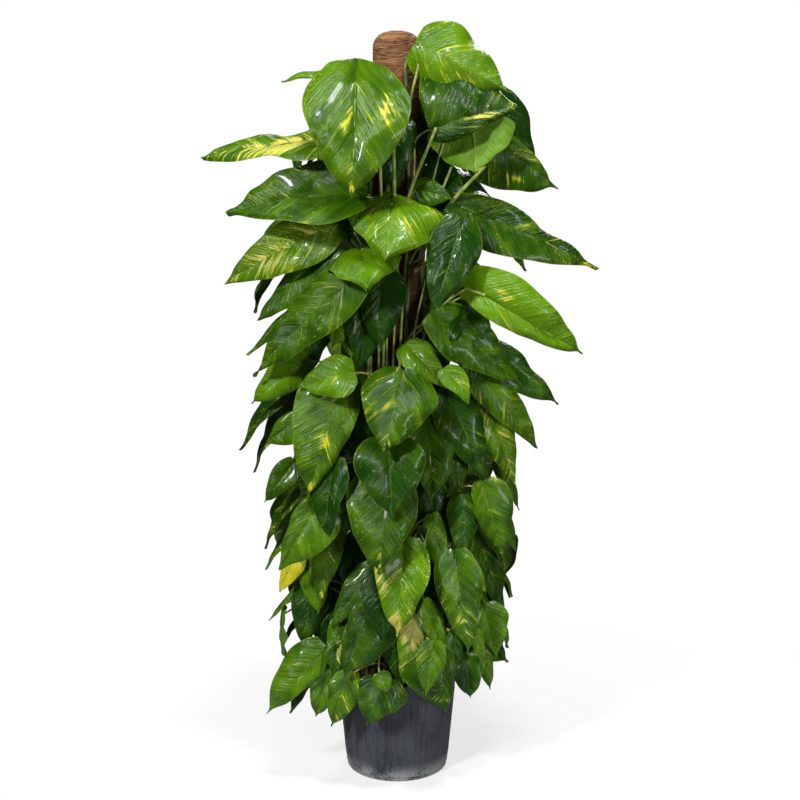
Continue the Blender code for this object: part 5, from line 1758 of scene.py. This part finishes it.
# %% The soil body
def soil_finish():
    """Dark crumbly mix with pale grains; tone makes a crumb paler."""
    made, graph, shader = new_finish("potting_mix", 0.95, Specular_IOR_Level=0.2)
    place = graph.add("ShaderNodeTexCoord").out("Object")
    clods = graph.speckle(place, 90.0, 4.0, 0.65)
    grains = graph.speckle(place, 420.0, 2.0)
    tone = attribute(graph, "tone")
    tint = graph.mix(clods.rise(0.35, 0.65), colour(0.016, 0.010, 0.006), colour(0.072, 0.045, 0.027))
    tint = graph.mix(grains.rise(0.60, 0.72) * 0.5, tint, colour(0.130, 0.085, 0.050))
    tint = graph.mix(tone.rise(0.90, 0.96), tint, colour(0.560, 0.540, 0.480))
    feed(graph, shader, Base_Color=tint)
    feed_bump(graph, shader, clods + grains * 0.5, 0.8, 0.003)
    return made


SOIL_FINISH = soil_finish()
SOIL_EDGE = POT_COLLAR_RADIUS - POT_WALL - 0.0006
SOIL_SIDES = 160




def soil_profile():
    """Down the outside is hidden by the pot; the top is closely ringed so that it can be uneven."""
    profile = [(0.0, 0.0034), (POT_FOOT_RADIUS - POT_WALL - 0.0006, 0.0034)]
    profile += [(POT_WALL_BASE_RADIUS - POT_WALL - 0.0006, POT_FOOT_HEIGHT + 0.002), (SOIL_EDGE, POT_COLLAR_Z - 0.001)]
    for ring in range(1, 40):
        profile.append((SOIL_EDGE * (1.0 - ring / 40.0), SOIL_TOP))
    return profile + [(0.0, SOIL_TOP)]


soil = lathe("soil_body", soil_profile(), SOIL_SIDES, SOIL_FINISH, False, None, 80.0)
for vertex in soil.data.vertices:
    if vertex.co.z > SOIL_TOP - 0.0005:
        slow = noise.noise(vertex.co * 30.0) * 0.7
        quick = noise.noise(vertex.co * 130.0) * 0.5
        edge = min(1.0, (SOIL_EDGE - math.hypot(vertex.co.x, vertex.co.y)) / 0.010)
        vertex.co.z += 2.0 * SOIL_RELIEF * (slow + quick) * edge - 0.002 * (1.0 - edge)
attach(soil, "root")
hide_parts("soil")
print("soil faces", len(soil.data.polygons))

# %% Scatter crumbs
CRUMB_COUNT = 1500
CRUMB_RADIUS = 0.0021
CRUMB_IN = POLE_RADIUS + 0.002
CRUMB_OUT = SOIL_EDGE - 0.003


def crumb_tree():
    """Low-sided stones on random places of a ring, each turned, sized and dented on its own."""
    graph, start = new_tree("crumbs", {
        "Count": "Int", "Size": "Float", "Inner": "Float", "Outer": "Float", "Height": "Float",
        "Seed": "Int", "Finish": "Material"})
    number = {"data_type": "FLOAT"}
    seed = start.out("Seed")
    inner, outer = start.out("Inner"), start.out("Outer")
    turn = graph.add("FunctionNodeRandomValue", number, {"Min": 0.0, "Max": 2.0 * math.pi, "Seed": seed})
    area = graph.add("FunctionNodeRandomValue", number,
                     {"Min": inner * inner, "Max": outer * outer, "Seed": seed + 1}).call("SQRT")
    lift = graph.add("FunctionNodeRandomValue", number, {"Min": -0.001, "Max": 0.0012, "Seed": seed + 2})
    place = graph.vector(area * turn.call("COSINE"), area * turn.call("SINE"), start.out("Height") + lift)
    seats = graph.add("GeometryNodePoints", {}, {"Count": start.out("Count"), "Position": place})
    stone = graph.add("GeometryNodeMeshIcoSphere", {}, {"Radius": start.out("Size"), "Subdivisions": 2})
    spin = graph.add("FunctionNodeRandomValue", {"data_type": "FLOAT_VECTOR"},
                     {"Min": (0.0, 0.0, 0.0), "Max": (6.28, 6.28, 6.28), "Seed": seed + 3})
    size = graph.add("FunctionNodeRandomValue", number, {"Min": 0.35, "Max": 1.25, "Seed": seed + 4})
    stones = graph.add("GeometryNodeInstanceOnPoints", {}, {
        "Points": seats, "Instance": stone, "Rotation": spin, "Scale": size})
    tone = graph.add("FunctionNodeRandomValue", number, {"Min": 0.0, "Max": 1.0, "Seed": seed + 5})
    stones = graph.add("GeometryNodeStoreNamedAttribute", {"data_type": "FLOAT", "domain": "INSTANCE"},
                       {"Geometry": stones, "Name": "tone", "Value": tone})
    real = graph.add("GeometryNodeRealizeInstances", {}, {"Geometry": stones})
    here = graph.add("GeometryNodeInputPosition")
    dent = (graph.speckle(here, 330.0, 1.0) - 0.5) * start.out("Size") * 0.9
    facing = graph.add("GeometryNodeInputNormal")
    push = graph.add("ShaderNodeVectorMath", {"operation": "SCALE"}, {"Vector": facing, "Scale": dent})
    real = graph.add("GeometryNodeSetPosition", {}, {"Geometry": real, "Offset": push})
    close_tree(graph, real, start.out("Finish"))
    return graph


crumbs = grow("soil_crumbs", crumb_tree(), bpy.data.meshes.new("nothing"), {
    "Count": CRUMB_COUNT, "Size": CRUMB_RADIUS, "Inner": CRUMB_IN, "Outer": CRUMB_OUT,
    "Height": SOIL_TOP, "Seed": 3, "Finish": SOIL_FINISH})
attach(crumbs, "root")

# %% [markdown]
# ## Ties and stake
# Two soft plastic bands hold the stems to the pole. They are turned with rounded edges and a row of
# small cross ridges that Geometry Nodes repeat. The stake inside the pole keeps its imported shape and
# gets a wood finish.

# %% Bands
def tie_finish():
    """Dull olive garden tie with a slightly dusty face."""
    made, graph, shader = new_finish("tie_soft", 0.55, Specular_IOR_Level=0.4)
    place = graph.add("ShaderNodeTexCoord").out("Object")
    cloud = graph.speckle(place, 80.0, 3.0)
    tint = graph.mix(cloud.rise(0.35, 0.68), colour(0.030, 0.034, 0.014), colour(0.085, 0.080, 0.036))
    feed(graph, shader, Base_Color=tint, Roughness=0.42 + cloud * 0.25)
    feed_bump(graph, shader, cloud, 0.3, 0.0006)
    return made


TIE_FINISH = tie_finish()
TIE_INNER = POLE_RADIUS + 0.0006 + 2.0 * STEM_RADIUS + 0.0003
RIDGE_COUNT = 90
RIDGE_RADIUS = 0.0004


def band(number, height):
    """A band with rounded edges round pole and stems."""
    half = 0.5 * TIE_WIDTH
    soft = 0.35 * TIE_THICKNESS
    outer = TIE_INNER + TIE_THICKNESS
    profile = (
        (TIE_INNER + soft, height - half), (outer - soft, height - half), (outer, height - half + soft),
        (outer, height + half - soft), (outer - soft, height + half), (TIE_INNER + soft, height + half),
        (TIE_INNER, height + half - soft), (TIE_INNER, height - half + soft))
    return lathe("tie_%d" % number, profile, 120, TIE_FINISH, True, None, 50.0)


for number, height in enumerate(TIE_HEIGHTS, 1):
    tie = band(number, height)
    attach(tie, "root")
    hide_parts("tie_band_%d" % number)
    outer = TIE_INNER + TIE_THICKNESS
    ridges = grow("tie_ridges_%d" % number, rib_tree(), bpy.data.meshes.new("nothing"), {
        "Count": RIDGE_COUNT, "Low radius": outer, "High radius": outer,
        "Low": height - 0.0021, "High": height + 0.0021, "Thickness": RIDGE_RADIUS, "Sides": 6, "Finish": TIE_FINISH})
    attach(ridges, "root")


# %% Stake
def wood_finish():
    """Pale stake wood with grain along its length."""
    made, graph, shader = new_finish("stake_grain", 0.7)
    place = graph.add("ShaderNodeTexCoord").out("Object")
    x, y, z = place.parts()
    grain = graph.speckle(graph.vector(x * 160.0, y * 160.0, z * 7.0), 1.0, 4.0, 0.6, 0.6)
    tint = graph.mix(grain.rise(0.30, 0.70), colour(0.230, 0.140, 0.070), colour(0.470, 0.330, 0.190))
    feed(graph, shader, Base_Color=tint, Roughness=0.55 + grain * 0.3)
    feed_bump(graph, shader, grain, 0.4, 0.001)
    return made


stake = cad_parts["pole_core"]
stake.data.materials.clear()
stake.data.materials.append(wood_finish())
